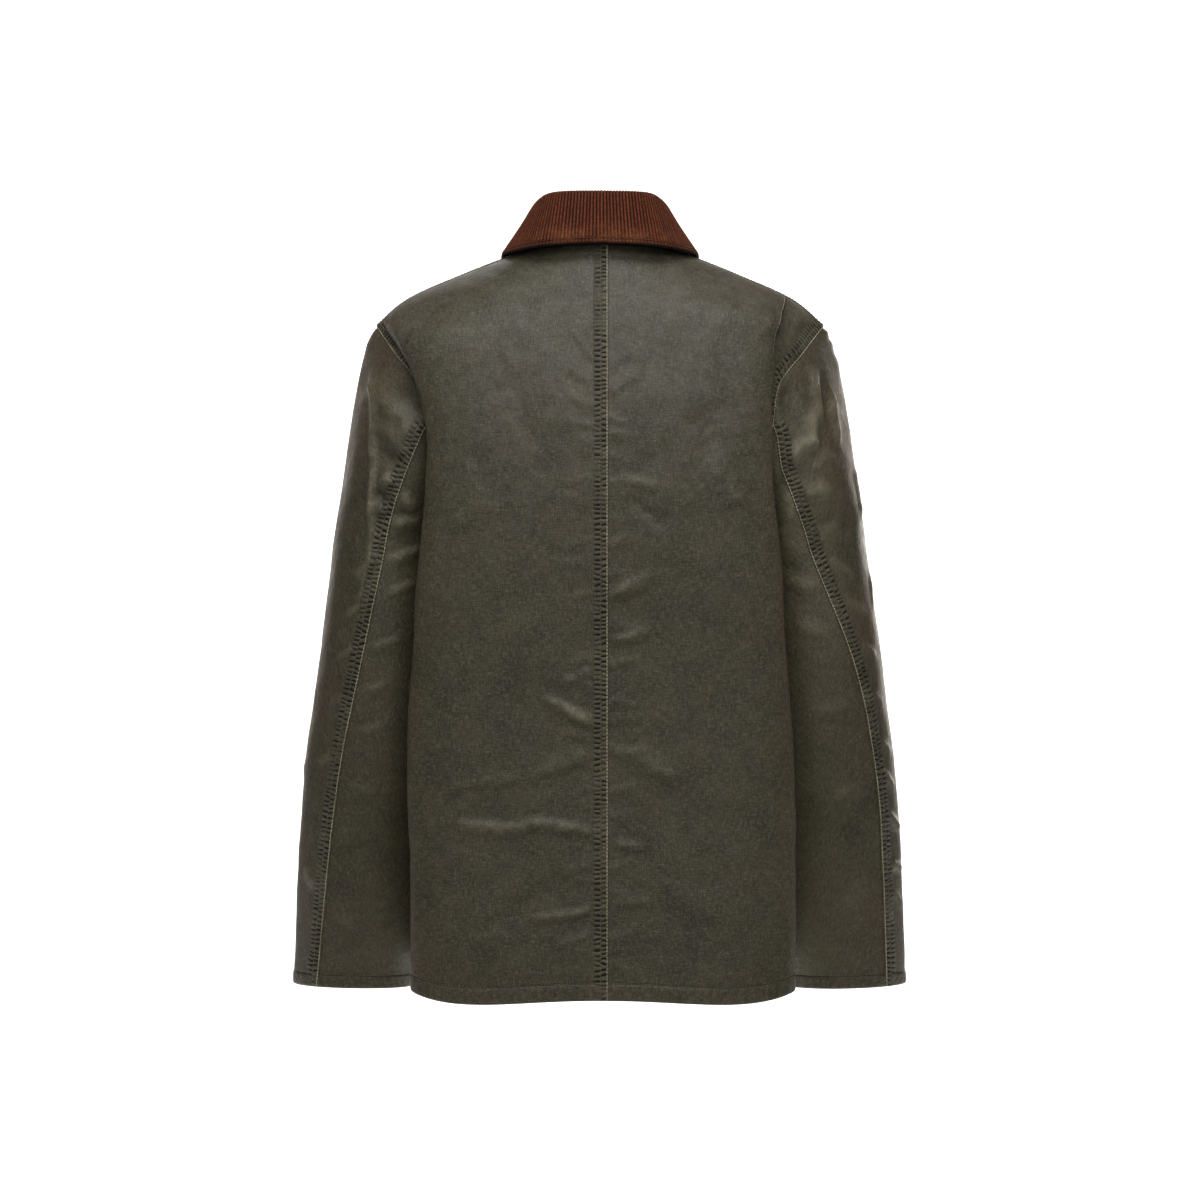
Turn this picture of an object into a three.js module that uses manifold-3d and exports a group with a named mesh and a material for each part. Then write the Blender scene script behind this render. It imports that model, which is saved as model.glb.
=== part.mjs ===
// A hip-length waxed-cotton jacket with a corduroy collar, in the form it takes when it is worn and buttoned:
// an open shell of sewn panels, empty inside. Millimetres, +Z up. The front faces -Y and the wearer's left is
// +X. The origin is the middle of the neck opening, level with the two side neck points, where the shoulders
// carry it.
//
// Body: two backs with a centre seam, two fronts that overlap at the centre, joined at side and shoulder seams.
// Each sleeve has a top and an under piece. The collar is one folded band of corduroy over a band of twill.
// Every panel is a grid of points on the worn form, given its thickness inwards and closed round its edge.
import * as THREE from "three";
import { mergeVertices } from "three/addons/utils/BufferGeometryUtils.js";
import Module from "manifold-3d";

const wasm = await Module();
wasm.setup();

// ---------------------------------------------------------------- driving sizes
const CLOTH = 1.6; // shell cloth wall
const CORDUROY = 1.8; // collar's face
const UNDER_COLLAR = 1.2; // collar's backing
const SEAM_GAP = 0.3; // between the pieces at a seam
const ARMHOLE_GAP = 0.5; // the sleeve starts this far out along its own surface
const OVERLAP = 20; // each front passes the centre line by this much
const LAP_LIFT = CLOTH + 0.7; // the upper front stands this far off the lower one
const LAP_BLEND = 45; // and comes down to the common form over this width
const HEM_LOBE = 6; // the back hem hangs lower between centre and side
const CUFF_TILT = 3; // the inner side of a cuff hangs lower than the outer side

// ---------------------------------------------------------------- how finely the cloth is faceted
const COLUMNS = { spineToCrest: 6, crestToSeam: 6, frontToCorner: 5, cornerToSeam: 5 };
const ROWS_PER_SECTION = [2, 1, 1, 1, 2, 2, 2, 2, 2, 2, 2, 1, 1, 1];
const SLEEVE = { capRows: 6, tubeRows: 8, topColumns: 14, underColumns: 10 };
const COLLAR = { stations: 24, around: 10 };
const COLLAR_CROWDING = 0.09; // how much closer together its rows are over the roll

// ---------------------------------------------------------------- buttons, down the centre front
const BUTTON = {
  count: 5,
  top: -108, // height of the first one
  pitch: 121,
  radius: 10,
  thick: 3.4,
  back: 1.2, // the back is this much smaller all round than the widest line
  waist: 1.1, // height of the widest line
  rim: 2.2,
  dish: 0.9, // depth of the dished middle
  hole: 1.1, // radius of a sewing hole
  holeAt: 2.3, // from the middle to a sewing hole
  sides: 20,
};

// ---------------------------------------------------------------- seams, shared by the pieces they join
// Side seam, from the hem up to the underarm.
const SIDE_SEAM = [
  { x: 163, y: -5, z: -698 },
  { x: 160, y: -6, z: -600 },
  { x: 156, y: -7, z: -480 },
  { x: 152, y: -8, z: -370 },
  { x: 150, y: -9, z: -300 },
  { x: 152, y: -10, z: -258 },
];
// Armhole, from the underarm up to the shoulder point, behind and in front.
//   slack  how much further out the left one lies, and the right one further in
const ARMHOLE_BACK = [
  { x: 152, y: -10, z: -258, slack: 0 },
  { x: 156, y: 34, z: -243, slack: 0 },
  { x: 161, y: 60, z: -209, slack: 0 },
  { x: 165, y: 70, z: -172, slack: 1 },
  { x: 176, y: 67, z: -134, slack: 5 },
  { x: 199, y: 46, z: -101, slack: 4 },
  { x: 218, y: 2, z: -72, slack: 0 },
];
const ARMHOLE_FRONT = [
  { x: 152, y: -10, z: -258, slack: 0 },
  { x: 156, y: -52, z: -240, slack: 0 },
  { x: 161, y: -76, z: -202, slack: 0 },
  { x: 167, y: -84, z: -165, slack: 0 },
  { x: 178, y: -74, z: -128, slack: 0 },
  { x: 199, y: -44, z: -97, slack: 0 },
  { x: 218, y: 2, z: -72, slack: 0 },
];
// Shoulder seam, from the shoulder point up to the side neck point.
const SHOULDER_SEAM = [
  { x: 218, y: 2, z: -72 },
  { x: 186, y: 3, z: -46 },
  { x: 134, y: 4, z: -23 },
  { x: 76, y: 4, z: 0 },
];

// ---------------------------------------------------------------- sections of the body, from hem to neck
// Plan of a half section: it leaves the centre line level, turns at a crest, and meets the seam.
//   z, y      the centre line's height and depth        flat    share of the crest's width that stays level
//   seamTurn  direction at the seam, degrees from +X    seamIn  length of the last handle
//   lift      in front, how early a section climbs on its way to the seam
const BACK = [
  { z: -716, y: 116, flat: 0.56, seamTurn: 90, seamIn: 34 },
  { z: -600, y: 112, flat: 0.58, seamTurn: 90, seamIn: 32 },
  { z: -480, y: 110, flat: 0.6, seamTurn: 90, seamIn: 30 },
  { z: -370, y: 113, flat: 0.6, seamTurn: 90, seamIn: 30 },
  { z: -298, y: 116, flat: 0.6, seamTurn: 88, seamIn: 30 },
  { z: -250, y: 117, flat: 0.6, seamTurn: 84, seamIn: 28 },
  { z: -216, y: 116, flat: 0.6, seamTurn: 60, seamIn: 16 },
  { z: -184, y: 115, flat: 0.6, seamTurn: 48, seamIn: 9 },
  { z: -150, y: 112, flat: 0.58, seamTurn: 40, seamIn: 7 },
  { z: -118, y: 107, flat: 0.55, seamTurn: 40, seamIn: 8 },
  { z: -90, y: 101, flat: 0.5, seamTurn: 44, seamIn: 12 },
  { z: -67, y: 94, flat: 0.46, seamTurn: 56, seamIn: 15 },
  { z: -46, y: 87, flat: 0.43, seamTurn: 90, seamIn: 14 },
  { z: -26, y: 80, flat: 0.43, seamTurn: 90, seamIn: 13 },
  { z: -6, y: 72, flat: 0.43, seamTurn: 90, seamIn: 11 },
];
// The cloth of the back stands over each armhole in a long fold. Its crest is the edge seen from behind.
//   x, y  the crest's place     turn  direction there, which past 90 tucks back under
//   into, out  handles before and after it
const BACK_CREST_LEFT = [
  { x: 180, y: 74, turn: 84, into: 26, out: 20 },
  { x: 181.5, y: 73, turn: 90, into: 24, out: 22 },
  { x: 184, y: 73, turn: 92, into: 22, out: 24 },
  { x: 177.5, y: 77, turn: 94, into: 22, out: 24 },
  { x: 171.5, y: 82, turn: 97, into: 20, out: 22 },
  { x: 167, y: 86, turn: 102, into: 18, out: 18 },
  { x: 164.5, y: 88, turn: 108, into: 16, out: 14 },
  { x: 163.2, y: 89, turn: 114, into: 15, out: 10 },
  { x: 168, y: 86, turn: 112, into: 16, out: 8 },
  { x: 180, y: 78, turn: 100, into: 20, out: 7 },
  { x: 195, y: 62, turn: 78, into: 28, out: 8 },
  { x: 201, y: 40, turn: 52, into: 40, out: 12 },
  { x: 170, y: 38, turn: 44, into: 44, out: 15 },
  { x: 121, y: 37, turn: 48, into: 34, out: 14 },
  { x: 68, y: 34, turn: 62, into: 27, out: 11 },
];
const BACK_CREST_RIGHT = [
  { x: 185.5, y: 74, turn: 84, into: 26, out: 20 },
  { x: 187, y: 72, turn: 90, into: 24, out: 22 },
  { x: 184, y: 72, turn: 92, into: 22, out: 24 },
  { x: 176, y: 77, turn: 94, into: 22, out: 24 },
  { x: 172.5, y: 82, turn: 97, into: 20, out: 22 },
  { x: 167, y: 86, turn: 102, into: 18, out: 18 },
  { x: 164, y: 88, turn: 108, into: 16, out: 14 },
  { x: 163.8, y: 90, turn: 114, into: 14, out: 10 },
  { x: 163, y: 91, turn: 118, into: 14, out: 8 },
  { x: 163, y: 88, turn: 118, into: 15, out: 10 },
  { x: 164.5, y: 81, turn: 108, into: 18, out: 13 },
  { x: 172, y: 66, turn: 78, into: 28, out: 17 },
  { x: 167, y: 42, turn: 44, into: 44, out: 16 },
  { x: 121, y: 37, turn: 48, into: 34, out: 14 },
  { x: 68, y: 34, turn: 62, into: 27, out: 11 },
];
// The front, with y negative. The corner is where the chest turns to the side.
const FRONT = [
  { z: -712, y: -122, flat: 0.5, lift: 1.6, seamTurn: 90, seamIn: 34 },
  { z: -600, y: -126, flat: 0.5, lift: 1.6, seamTurn: 90, seamIn: 34 },
  { z: -480, y: -130, flat: 0.5, lift: 1.6, seamTurn: 90, seamIn: 34 },
  { z: -374, y: -134, flat: 0.5, lift: 1.6, seamTurn: 90, seamIn: 34 },
  { z: -310, y: -136, flat: 0.5, lift: 1.6, seamTurn: 90, seamIn: 32 },
  { z: -272, y: -136, flat: 0.5, lift: 1.6, seamTurn: 86, seamIn: 28 },
  { z: -246, y: -135, flat: 0.5, lift: 1.6, seamTurn: 82, seamIn: 20 },
  { z: -222, y: -132, flat: 0.49, lift: 1.6, seamTurn: 72, seamIn: 12 },
  { z: -198, y: -128, flat: 0.48, lift: 1.6, seamTurn: 60, seamIn: 9 },
  { z: -176, y: -122, flat: 0.46, lift: 1.65, seamTurn: 52, seamIn: 12 },
  { z: -156, y: -115, flat: 0.45, lift: 1.75, seamTurn: 48, seamIn: 18 },
  { z: -137, y: -107, flat: 0.44, lift: 1.9, seamTurn: 60, seamIn: 24 },
  { z: -118, y: -98, flat: 0.43, lift: 2.2, seamTurn: 90, seamIn: 18 },
  { z: -98, y: -89, flat: 0.43, lift: 2.9, seamTurn: 90, seamIn: 14 },
  { z: -78, y: -78, flat: 0.43, lift: 3.6, seamTurn: 90, seamIn: 12 },
];
const FRONT_CORNER = [
  { x: 158, y: -84, turn: 72, into: 34, out: 24 },
  { x: 157, y: -86, turn: 74, into: 34, out: 24 },
  { x: 156, y: -88, turn: 76, into: 34, out: 24 },
  { x: 154, y: -92, turn: 76, into: 32, out: 24 },
  { x: 153, y: -96, turn: 76, into: 30, out: 24 },
  { x: 153, y: -98, turn: 76, into: 28, out: 22 },
  { x: 152, y: -102, turn: 66, into: 28, out: 18 },
  { x: 150, y: -106, turn: 54, into: 28, out: 13 },
  { x: 148, y: -106, turn: 44, into: 30, out: 12 },
  { x: 146, y: -101, turn: 36, into: 34, out: 16 },
  { x: 146, y: -90, turn: 34, into: 38, out: 22 },
  { x: 150, y: -72, turn: 36, into: 42, out: 26 },
  { x: 146, y: -56, turn: 42, into: 42, out: 18 },
  { x: 118, y: -43, turn: 48, into: 36, out: 15 },
  { x: 68, y: -37, turn: 62, into: 29, out: 12 },
];

// ---------------------------------------------------------------- sleeves, as level rings below the underarm
//   outer, inner  reach from the body's centre line   mid, deep  centre and depth from front to back
//   back, front   angle of the two seams round the ring from its outer point, for the left and right sleeves
const RINGS = [
  { z: -292, outer: 261.5, inner: 154.5, mid: -8, deep: 128, backLeft: 89, backRight: 84, front: -112 },
  { z: -400, outer: 276.5, inner: 161.5, mid: -12, deep: 121, backLeft: 78.5, backRight: 62.5, front: -104 },
  { z: -500, outer: 289.5, inner: 168, mid: -22, deep: 110, backLeft: 68, backRight: 51, front: -98 },
  { z: -600, outer: 298.5, inner: 175.5, mid: -36, deep: 96, backLeft: 62.5, backRight: 50, front: -94 },
  { z: -720, outer: 304.5, inner: 186, mid: -54, deep: 78, backLeft: 55, backRight: 51, front: -92 },
];
const SEAM_AT_ARMHOLE = { back: 90, front: -120 };
// The cap leaves the armhole outwards and down, and more outwards at the shoulder point than at the underarm.
//   out, outRound, sideways, down   the direction in which it leaves
//   reach, least                    longest and least handle there
//   settle                          longest handle into the first ring
const CAP = { out: 0.5, outRound: 0.48, sideways: 0.12, down: 0.57, reach: 64, least: 1, settle: 200 };

// ---------------------------------------------------------------- collar, from centre back to centre front
// A section stands on the neckline at a place across the back or the front, where 1 is the crest or the corner
// and 2 the shoulder seam. It leans to the neck, rolls over at its crest, and falls to its free edge.
const COLLAR_SECTIONS = [
  { back: 0, crest: [0, 60, 51.5], edge: [0, 95, -0.5] },
  { back: 0.5, crest: [35, 53, 52], edge: [41, 89, -2] },
  { back: 0.85, crest: [52, 37, 51.5], edge: [67, 72, -3.5] },
  { back: 1.3, crest: [60.5, 16, 47], edge: [87, 39, -4.4] },
  { back: 2, crest: [63, -6, 39], edge: [95, 6, -3.6] },
  { front: 1.35, crest: [58, -33, 24], edge: [95, -34, -16] },
  { front: 0.9, crest: [47, -56, 3], edge: [88, -72, -44] },
  { front: 0.5, crest: [30, -73, -24], edge: [73, -97, -80] },
  { front: 0.07, crest: [10, -83, -46], edge: [53, -108, -110] },
];

// ---------------------------------------------------------------- curves
const lerp = (a, b, t) => a + (b - a) * t;
const smooth = (t) => {
  const s = Math.min(Math.max(t, 0), 1);
  return s * s * (3 - 2 * s);
};
const radians = (degrees) => (degrees * Math.PI) / 180;

/** A value on the smooth curve through a list of numbers, at a place counted in list steps. */
function through(values, at) {
  const last = values.length - 1;
  const i = Math.min(Math.floor(at), last - 1);
  const t = at - i;
  const [p1, p2] = [values[i], values[i + 1]];
  const p0 = i > 0 ? values[i - 1] : 2 * p1 - p2;
  const p3 = i < last - 1 ? values[i + 2] : 2 * p2 - p1;
  const [m1, m2] = [(p2 - p0) / 2, (p3 - p1) / 2];
  const [t2, t3] = [t * t, t * t * t];
  return p1 * (2 * t3 - 3 * t2 + 1) + m1 * (t3 - 2 * t2 + t) + p2 * (3 * t2 - 2 * t3) + m2 * (t3 - t2);
}

/** One row of sizes between two rows of a table. */
function sizesAt(table, at) {
  const names = Object.keys(table[0]);
  return Object.fromEntries(names.map((name) => [name, through(table.map((r) => r[name]), at)]));
}

/** A point of a seam, on the wearer's left. side tells which of the two is meant, as they differ a little. */
const pointAt = (seam, at, side = 0) => {
  const s = sizesAt(seam, at);
  return new THREE.Vector3(s.x + side * (s.slack ?? 0), s.y, s.z);
};

/** A point on a plane cubic with the given ends and handles. */
function cubic(a, b, c, d, t) {
  const s = 1 - t;
  const weights = [s * s * s, 3 * s * s * t, 3 * s * t * t, t * t * t];
  return [0, 1].map((k) => weights[0] * a[k] + weights[1] * b[k] + weights[2] * c[k] + weights[3] * d[k]);
}

// ---------------------------------------------------------------- body
const UNDERARM = SIDE_SEAM.length - 1;
const SHOULDER = UNDERARM + ARMHOLE_BACK.length - 1;
const NECK = SHOULDER + SHOULDER_SEAM.length - 1;

/** The outer edge of a front or back at a section: side seam, then armhole, then shoulder seam. */
function bodyEdge(half, at) {
  if (at <= UNDERARM) return pointAt(SIDE_SEAM, at);
  if (at <= SHOULDER) return pointAt(half.armhole, at - UNDERARM, half.side);
  return pointAt(SHOULDER_SEAM, at - SHOULDER);
}

/** A point of a half section. across runs 0 to 1 from the centre line to the crest, and 1 to 2 to the seam. */
function bodyPoint(half, at, across) {
  const centre = sizesAt(half.centre, at);
  const crest = sizesAt(half.crest, at);
  const edge = bodyEdge(half, at);
  const out = half.facing; // +1 at the back, -1 in front
  const heading = (degrees, length) => {
    const angle = radians(degrees);
    return [Math.cos(angle) * length, -out * Math.sin(angle) * length];
  };
  const [hx, hy] = heading(crest.turn, 1);
  let plan;
  if (across <= 1) {
    const level = [centre.flat * crest.x, centre.y];
    const before = [crest.x - hx * crest.into, crest.y - hy * crest.into];
    plan = cubic([0, centre.y], level, before, [crest.x, crest.y], across);
  } else {
    const [ex, ey] = heading(centre.seamTurn, centre.seamIn);
    const after = [crest.x + hx * crest.out, crest.y + hy * crest.out];
    plan = cubic([crest.x, crest.y], after, [edge.x - ex, edge.y - ey], [edge.x, edge.y], across - 1);
  }
  const share = across / 2;
  let rise = 1 - Math.pow(Math.cos((share * Math.PI) / 2), centre.lift);
  let lobe = 0;
  if (out > 0) {
    rise = share * share;
    lobe = HEM_LOBE * Math.pow(Math.sin(Math.min(across, 1) * Math.PI), 2) * smooth(1 - at);
  }
  return new THREE.Vector3(plan[0], plan[1], lerp(centre.z, edge.z, rise) - lobe);
}

/** Places from hem to neck, counted in sections. */
const sectionRows = () => {
  const rows = [];
  ROWS_PER_SECTION.forEach((n, i) => {
    for (let k = 0; k < n; k += 1) rows.push(i + k / n);
  });
  return [...rows, NECK];
};

/** Column places from the centre line to the seam. */
function bodyColumns(toCrest, toSeam) {
  const first = Array.from({ length: toCrest }, (_, i) => i / toCrest);
  const second = Array.from({ length: toSeam + 1 }, (_, i) => 1 + i / toSeam);
  return [...first, ...second];
}

/** The outward unit normal of a half section's surface, as it lies on the wearer's left. */
function bodyNormal(half, at, across) {
  const place = (u, v) => bodyPoint(half, Math.min(Math.max(u, 0), NECK), Math.min(Math.max(v, 0), 2));
  const along = place(at + 0.01, across).sub(place(at - 0.01, across));
  const over = place(at, across + 0.01).sub(place(at, across - 0.01));
  return over.cross(along).multiplyScalar(-half.facing).normalize();
}

/** A point of a panel with the outward direction of its wall there, which pieces share where they are sewn. */
function bodyVertex(half, at, across, side) {
  const normal = bodyNormal(half, at, across);
  if (across === 2 && (at <= UNDERARM || at >= SHOULDER)) {
    const other = half.facing < 0 ? backHalf(side) : FRONT_HALF;
    normal.add(bodyNormal(other, at, across)).normalize();
  }
  return { point: bodyPoint(half, at, across), normal };
}

/** Moves the first and the last point of a row towards their neighbours, to leave room for a seam. */
function drawIn(row, first, last) {
  const shift = (i, j, distance) => {
    const towards = row[j].point.clone().sub(row[i].point).normalize();
    row[i].point.addScaledVector(towards, distance);
  };
  const end = row.length - 1;
  shift(0, 1, first);
  shift(end, end - 1, last);
  return row;
}

/** A row made on the wearer's left, put on its own side. */
const mirrored = (row, side) =>
  row.map(({ point, normal }) => {
    const flip = new THREE.Vector3(side, 1, 1);
    return { point: point.multiply(flip), normal: normal.multiply(flip) };
  });

/** The back on one side: 1 is the wearer's left, -1 the right. */
const backHalf = (side) => ({
  centre: BACK,
  crest: side > 0 ? BACK_CREST_LEFT : BACK_CREST_RIGHT,
  armhole: ARMHOLE_BACK,
  facing: 1,
  side,
});
const FRONT_HALF = { centre: FRONT, crest: FRONT_CORNER, armhole: ARMHOLE_FRONT, facing: -1, side: 1 };

/** The grid of a back, from the centre seam to the side. */
function backGrid(side) {
  const half = backHalf(side);
  const columns = bodyColumns(COLUMNS.spineToCrest, COLUMNS.crestToSeam);
  return sectionRows().map((at) => {
    const row = columns.map((across) => bodyVertex(half, at, across, side));
    return mirrored(drawIn(row, SEAM_GAP / 2, SEAM_GAP / 2), side);
  });
}

/** The place across a front at which it is a distance from the centre line. */
function frontAcross(at, x) {
  let [low, high] = [0, 1];
  for (let i = 0; i < 30; i += 1) {
    const mid = (low + high) / 2;
    if (bodyPoint(FRONT_HALF, at, mid).x < x) low = mid;
    else high = mid;
  }
  return low;
}

/** How far the upper front is lifted off the common form, at a distance from the centre on its own side. */
const lapLift = (inwards) => LAP_LIFT * smooth((LAP_BLEND + OVERLAP - inwards) / LAP_BLEND);

/** The grid of a front, from its free edge to the side. The upper one is lifted where it laps over. */
function frontGrid(side, upper) {
  return sectionRows().map((at) => {
    const lap = frontAcross(at, OVERLAP);
    const columns = bodyColumns(COLUMNS.frontToCorner, COLUMNS.cornerToSeam).slice(1);
    const row = [0, lap, ...columns.map((c) => (c < 1 ? lerp(lap, 1, c) : c))].map((across) =>
      bodyVertex(FRONT_HALF, at, across, side),
    );
    const past = bodyVertex(FRONT_HALF, at, lap, side);
    past.point.x *= -1;
    past.normal.x *= -1;
    row.unshift(past);
    if (upper) row.forEach(({ point }) => (point.y -= lapLift(point.x)));
    return mirrored(drawIn(row, 0, SEAM_GAP / 2), side);
  });
}

// ---------------------------------------------------------------- sleeves
const ARMHOLE_STEPS = ARMHOLE_BACK.length - 1;

/** A place on the armhole as a loop: angle 0 is the shoulder point, 90 is behind and 180 the underarm. */
function armholePlace(angle) {
  const turned = ((angle % 360) + 360) % 360;
  const behind = turned <= 180;
  const share = (behind ? turned : 360 - turned) / 180;
  return { behind, place: (1 - share) * ARMHOLE_STEPS };
}

/** The point of the armhole at an angle. */
function armholePoint(angle, side) {
  const { behind, place } = armholePlace(angle);
  return pointAt(behind ? ARMHOLE_BACK : ARMHOLE_FRONT, place, side);
}

/** A point of the level ring at a place counted in rows of RINGS. */
function ringPoint(at, angle) {
  const r = sizesAt(RINGS, at);
  const [c, s] = [Math.cos(radians(angle)), Math.sin(radians(angle))];
  const cuff = (smooth(at - (RINGS.length - 2)) * CUFF_TILT * (c - 1)) / 2;
  const x = (r.outer + r.inner) / 2 + (c * (r.outer - r.inner)) / 2;
  return new THREE.Vector3(x, r.mid + (s * r.deep) / 2, r.z + cuff);
}

/** A point of the sleeve. along runs 0 to 1 over the cap, and on from 1 by rows of RINGS down to the cuff. */
function sleevePoint(along, angle, side) {
  if (along >= 1) return ringPoint(along - 1, angle);
  const start = armholePoint(angle, side);
  const end = ringPoint(0, angle);
  const [c, s] = [Math.cos(radians(angle)), Math.sin(radians(angle))];
  const leave = new THREE.Vector3(CAP.out + CAP.outRound * c, CAP.sideways * s, -CAP.down).normalize();
  const span = start.distanceTo(end);
  leave.multiplyScalar(Math.min(CAP.reach, 0.5 * span + CAP.least));
  const down = ringPoint(0.02, angle).sub(end).normalize().multiplyScalar(Math.min(CAP.settle, 0.95 * span));
  const t = along;
  const [t2, t3] = [t * t, t * t * t];
  return start
    .multiplyScalar(2 * t3 - 3 * t2 + 1)
    .addScaledVector(leave, t3 - 2 * t2 + t)
    .addScaledVector(end, 3 * t2 - 2 * t3)
    .addScaledVector(down, t3 - t2);
}

/** The outward unit normal of the sleeve, on the wearer's left. */
function sleeveNormal(along, angle, side) {
  const last = RINGS.length;
  const place = (u, v) => sleevePoint(Math.min(Math.max(u, 0), last), v, side);
  const down = place(along + 0.01, angle).sub(place(along - 0.01, angle));
  const over = place(along, angle + 0.5).sub(place(along, angle - 0.5));
  return down.cross(over).normalize();
}

/** The angles of a sleeve's back and front seams. */
function seamAngles(along, side) {
  const name = side > 0 ? "backLeft" : "backRight";
  const ring = sizesAt(RINGS, Math.max(along - 1, 0));
  const t = Math.min(along, 1);
  return {
    back: lerp(SEAM_AT_ARMHOLE.back, ring[name], t),
    front: lerp(SEAM_AT_ARMHOLE.front, ring.front, t),
  };
}

/** One piece of a sleeve: the top one on the outer side of its two seams, or the under one on the inner. */
function sleeveGrid(side, top) {
  const rows = [0];
  for (let i = 1; i < SLEEVE.capRows; i += 1) rows.push(i / SLEEVE.capRows);
  for (let i = 0; i <= SLEEVE.tubeRows; i += 1) rows.push(1 + ((RINGS.length - 1) * i) / SLEEVE.tubeRows);
  const count = top ? SLEEVE.topColumns : SLEEVE.underColumns;
  const grid = rows.map((along) => {
    const { back, front } = seamAngles(along, side);
    const [from, to] = top ? [front, back] : [back, front + 360];
    const row = Array.from({ length: count + 1 }, (_, i) => {
      const angle = lerp(from, to, i / count);
      return { point: sleevePoint(along, angle, side), normal: sleeveNormal(along, angle, side) };
    });
    return drawIn(row, SEAM_GAP / 2, SEAM_GAP / 2);
  });
  grid[0].forEach(({ point }, j) => {
    const towards = grid[1][j].point.clone().sub(point).normalize();
    point.addScaledVector(towards, ARMHOLE_GAP);
  });
  return grid.map((row) => mirrored(row, side));
}

// ---------------------------------------------------------------- collar
const COLLAR_ROLL = 5; // half the width of the fold along the crest
const STAND_GAP = SEAM_GAP + CLOTH / 2; // between the neckline and the stand's lower edge

/** The collar's middle surface. station runs -1 to 1 from end to end, around from its base to its free edge. */
function collarPoint(station, around) {
  const at = Math.abs(station) * (COLLAR_SECTIONS.length - 1);
  const place = (name) => {
    const [x, y, z] = [0, 1, 2].map((k) => through(COLLAR_SECTIONS.map((s) => s[name][k]), at));
    return new THREE.Vector3(x, y, z);
  };
  const [crest, edge] = [place("crest"), place("edge")];
  const round = through(COLLAR_SECTIONS.map((s) => s.back ?? 4 - s.front), at);
  const base = round <= 2 ? bodyPoint(backHalf(1), NECK, round) : bodyPoint(FRONT_HALF, NECK, 4 - round);
  base.addScaledVector(crest.clone().sub(base).normalize(), STAND_GAP);
  const outward = edge.clone().sub(base).setZ(0).normalize();
  const standTop = crest.clone().addScaledVector(outward, -COLLAR_ROLL);
  const fallTop = crest.clone().addScaledVector(outward, COLLAR_ROLL);
  [standTop.z, fallTop.z] = [standTop.z - COLLAR_ROLL, fallTop.z - COLLAR_ROLL];
  const curve = new THREE.CurvePath();
  curve.add(new THREE.LineCurve3(base, standTop));
  const k = COLLAR_ROLL * 1.25;
  curve.add(
    new THREE.CubicBezierCurve3(
      standTop,
      standTop.clone().addScaledVector(standTop.clone().sub(base).normalize(), k),
      fallTop.clone().addScaledVector(fallTop.clone().sub(edge).normalize(), k),
      fallTop,
    ),
  );
  curve.add(new THREE.LineCurve3(fallTop, edge));
  const point = curve.getPointAt(Math.min(Math.max(around, 0), 1));
  if (station < 0) point.x *= -1;
  return point;
}

/** The collar's unit normal on its corduroy side. */
function collarNormal(station, around) {
  const step = 0.02;
  const place = (u, v) => collarPoint(Math.min(Math.max(u, -1), 1), v);
  const across = place(station + step, around).sub(place(station - step, around));
  const along = place(station, around + step).sub(place(station, around - step));
  return across.cross(along).normalize();
}

/** Places round the section, closer together over the roll. */
const collarPlaces = Array.from({ length: COLLAR.around + 1 }, (_, i) => {
  const t = i / COLLAR.around;
  return t + COLLAR_CROWDING * Math.sin(2 * Math.PI * t);
});

/** The grid of the collar's middle surface, from the neckline to the free edge. */
function collarGrid() {
  const stations = Array.from({ length: COLLAR.stations + 1 }, (_, i) => (2 * i) / COLLAR.stations - 1);
  return collarPlaces.map((around) =>
    stations.map((station) => ({ point: collarPoint(station, around), normal: collarNormal(station, around) })),
  );
}

// ---------------------------------------------------------------- walls
/** A closed wall between a grid of vertices moved by inner and by outer along its outward normals. */
function wallGeometry(grid, inner, outer) {
  const [rows, columns] = [grid.length, grid[0].length];
  const position = [];
  for (const distance of [outer, inner]) {
    for (const { point, normal } of grid.flat()) {
      position.push(...point.clone().addScaledVector(normal, distance).toArray());
    }
  }
  const id = (layer, i, j) => (layer * rows + i) * columns + j;
  const index = [];
  const quad = (a, b, c, d) => index.push(a, b, c, a, c, d);
  for (let i = 0; i < rows - 1; i += 1) {
    for (let j = 0; j < columns - 1; j += 1) {
      quad(id(0, i, j), id(0, i, j + 1), id(0, i + 1, j + 1), id(0, i + 1, j));
      quad(id(1, i, j), id(1, i + 1, j), id(1, i + 1, j + 1), id(1, i, j + 1));
    }
  }
  const last = { i: rows - 1, j: columns - 1 };
  for (let j = 0; j < last.j; j += 1) {
    quad(id(0, 0, j), id(1, 0, j), id(1, 0, j + 1), id(0, 0, j + 1));
    quad(id(0, last.i, j), id(0, last.i, j + 1), id(1, last.i, j + 1), id(1, last.i, j));
  }
  for (let i = 0; i < last.i; i += 1) {
    quad(id(0, i, 0), id(0, i + 1, 0), id(1, i + 1, 0), id(1, i, 0));
    quad(id(0, i, last.j), id(1, i, last.j), id(1, i + 1, last.j), id(0, i + 1, last.j));
  }
  const across = grid[0][1].point.clone().sub(grid[0][0].point);
  const along = grid[1][0].point.clone().sub(grid[0][0].point);
  if (across.cross(along).dot(grid[0][0].normal) < 0) {
    for (let i = 0; i < index.length; i += 3) [index[i + 1], index[i + 2]] = [index[i + 2], index[i + 1]];
  }
  const geometry = new THREE.BufferGeometry();
  geometry.setAttribute("position", new THREE.Float32BufferAttribute(position, 3));
  geometry.setIndex(index);
  geometry.computeVertexNormals();
  return geometry;
}

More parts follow.
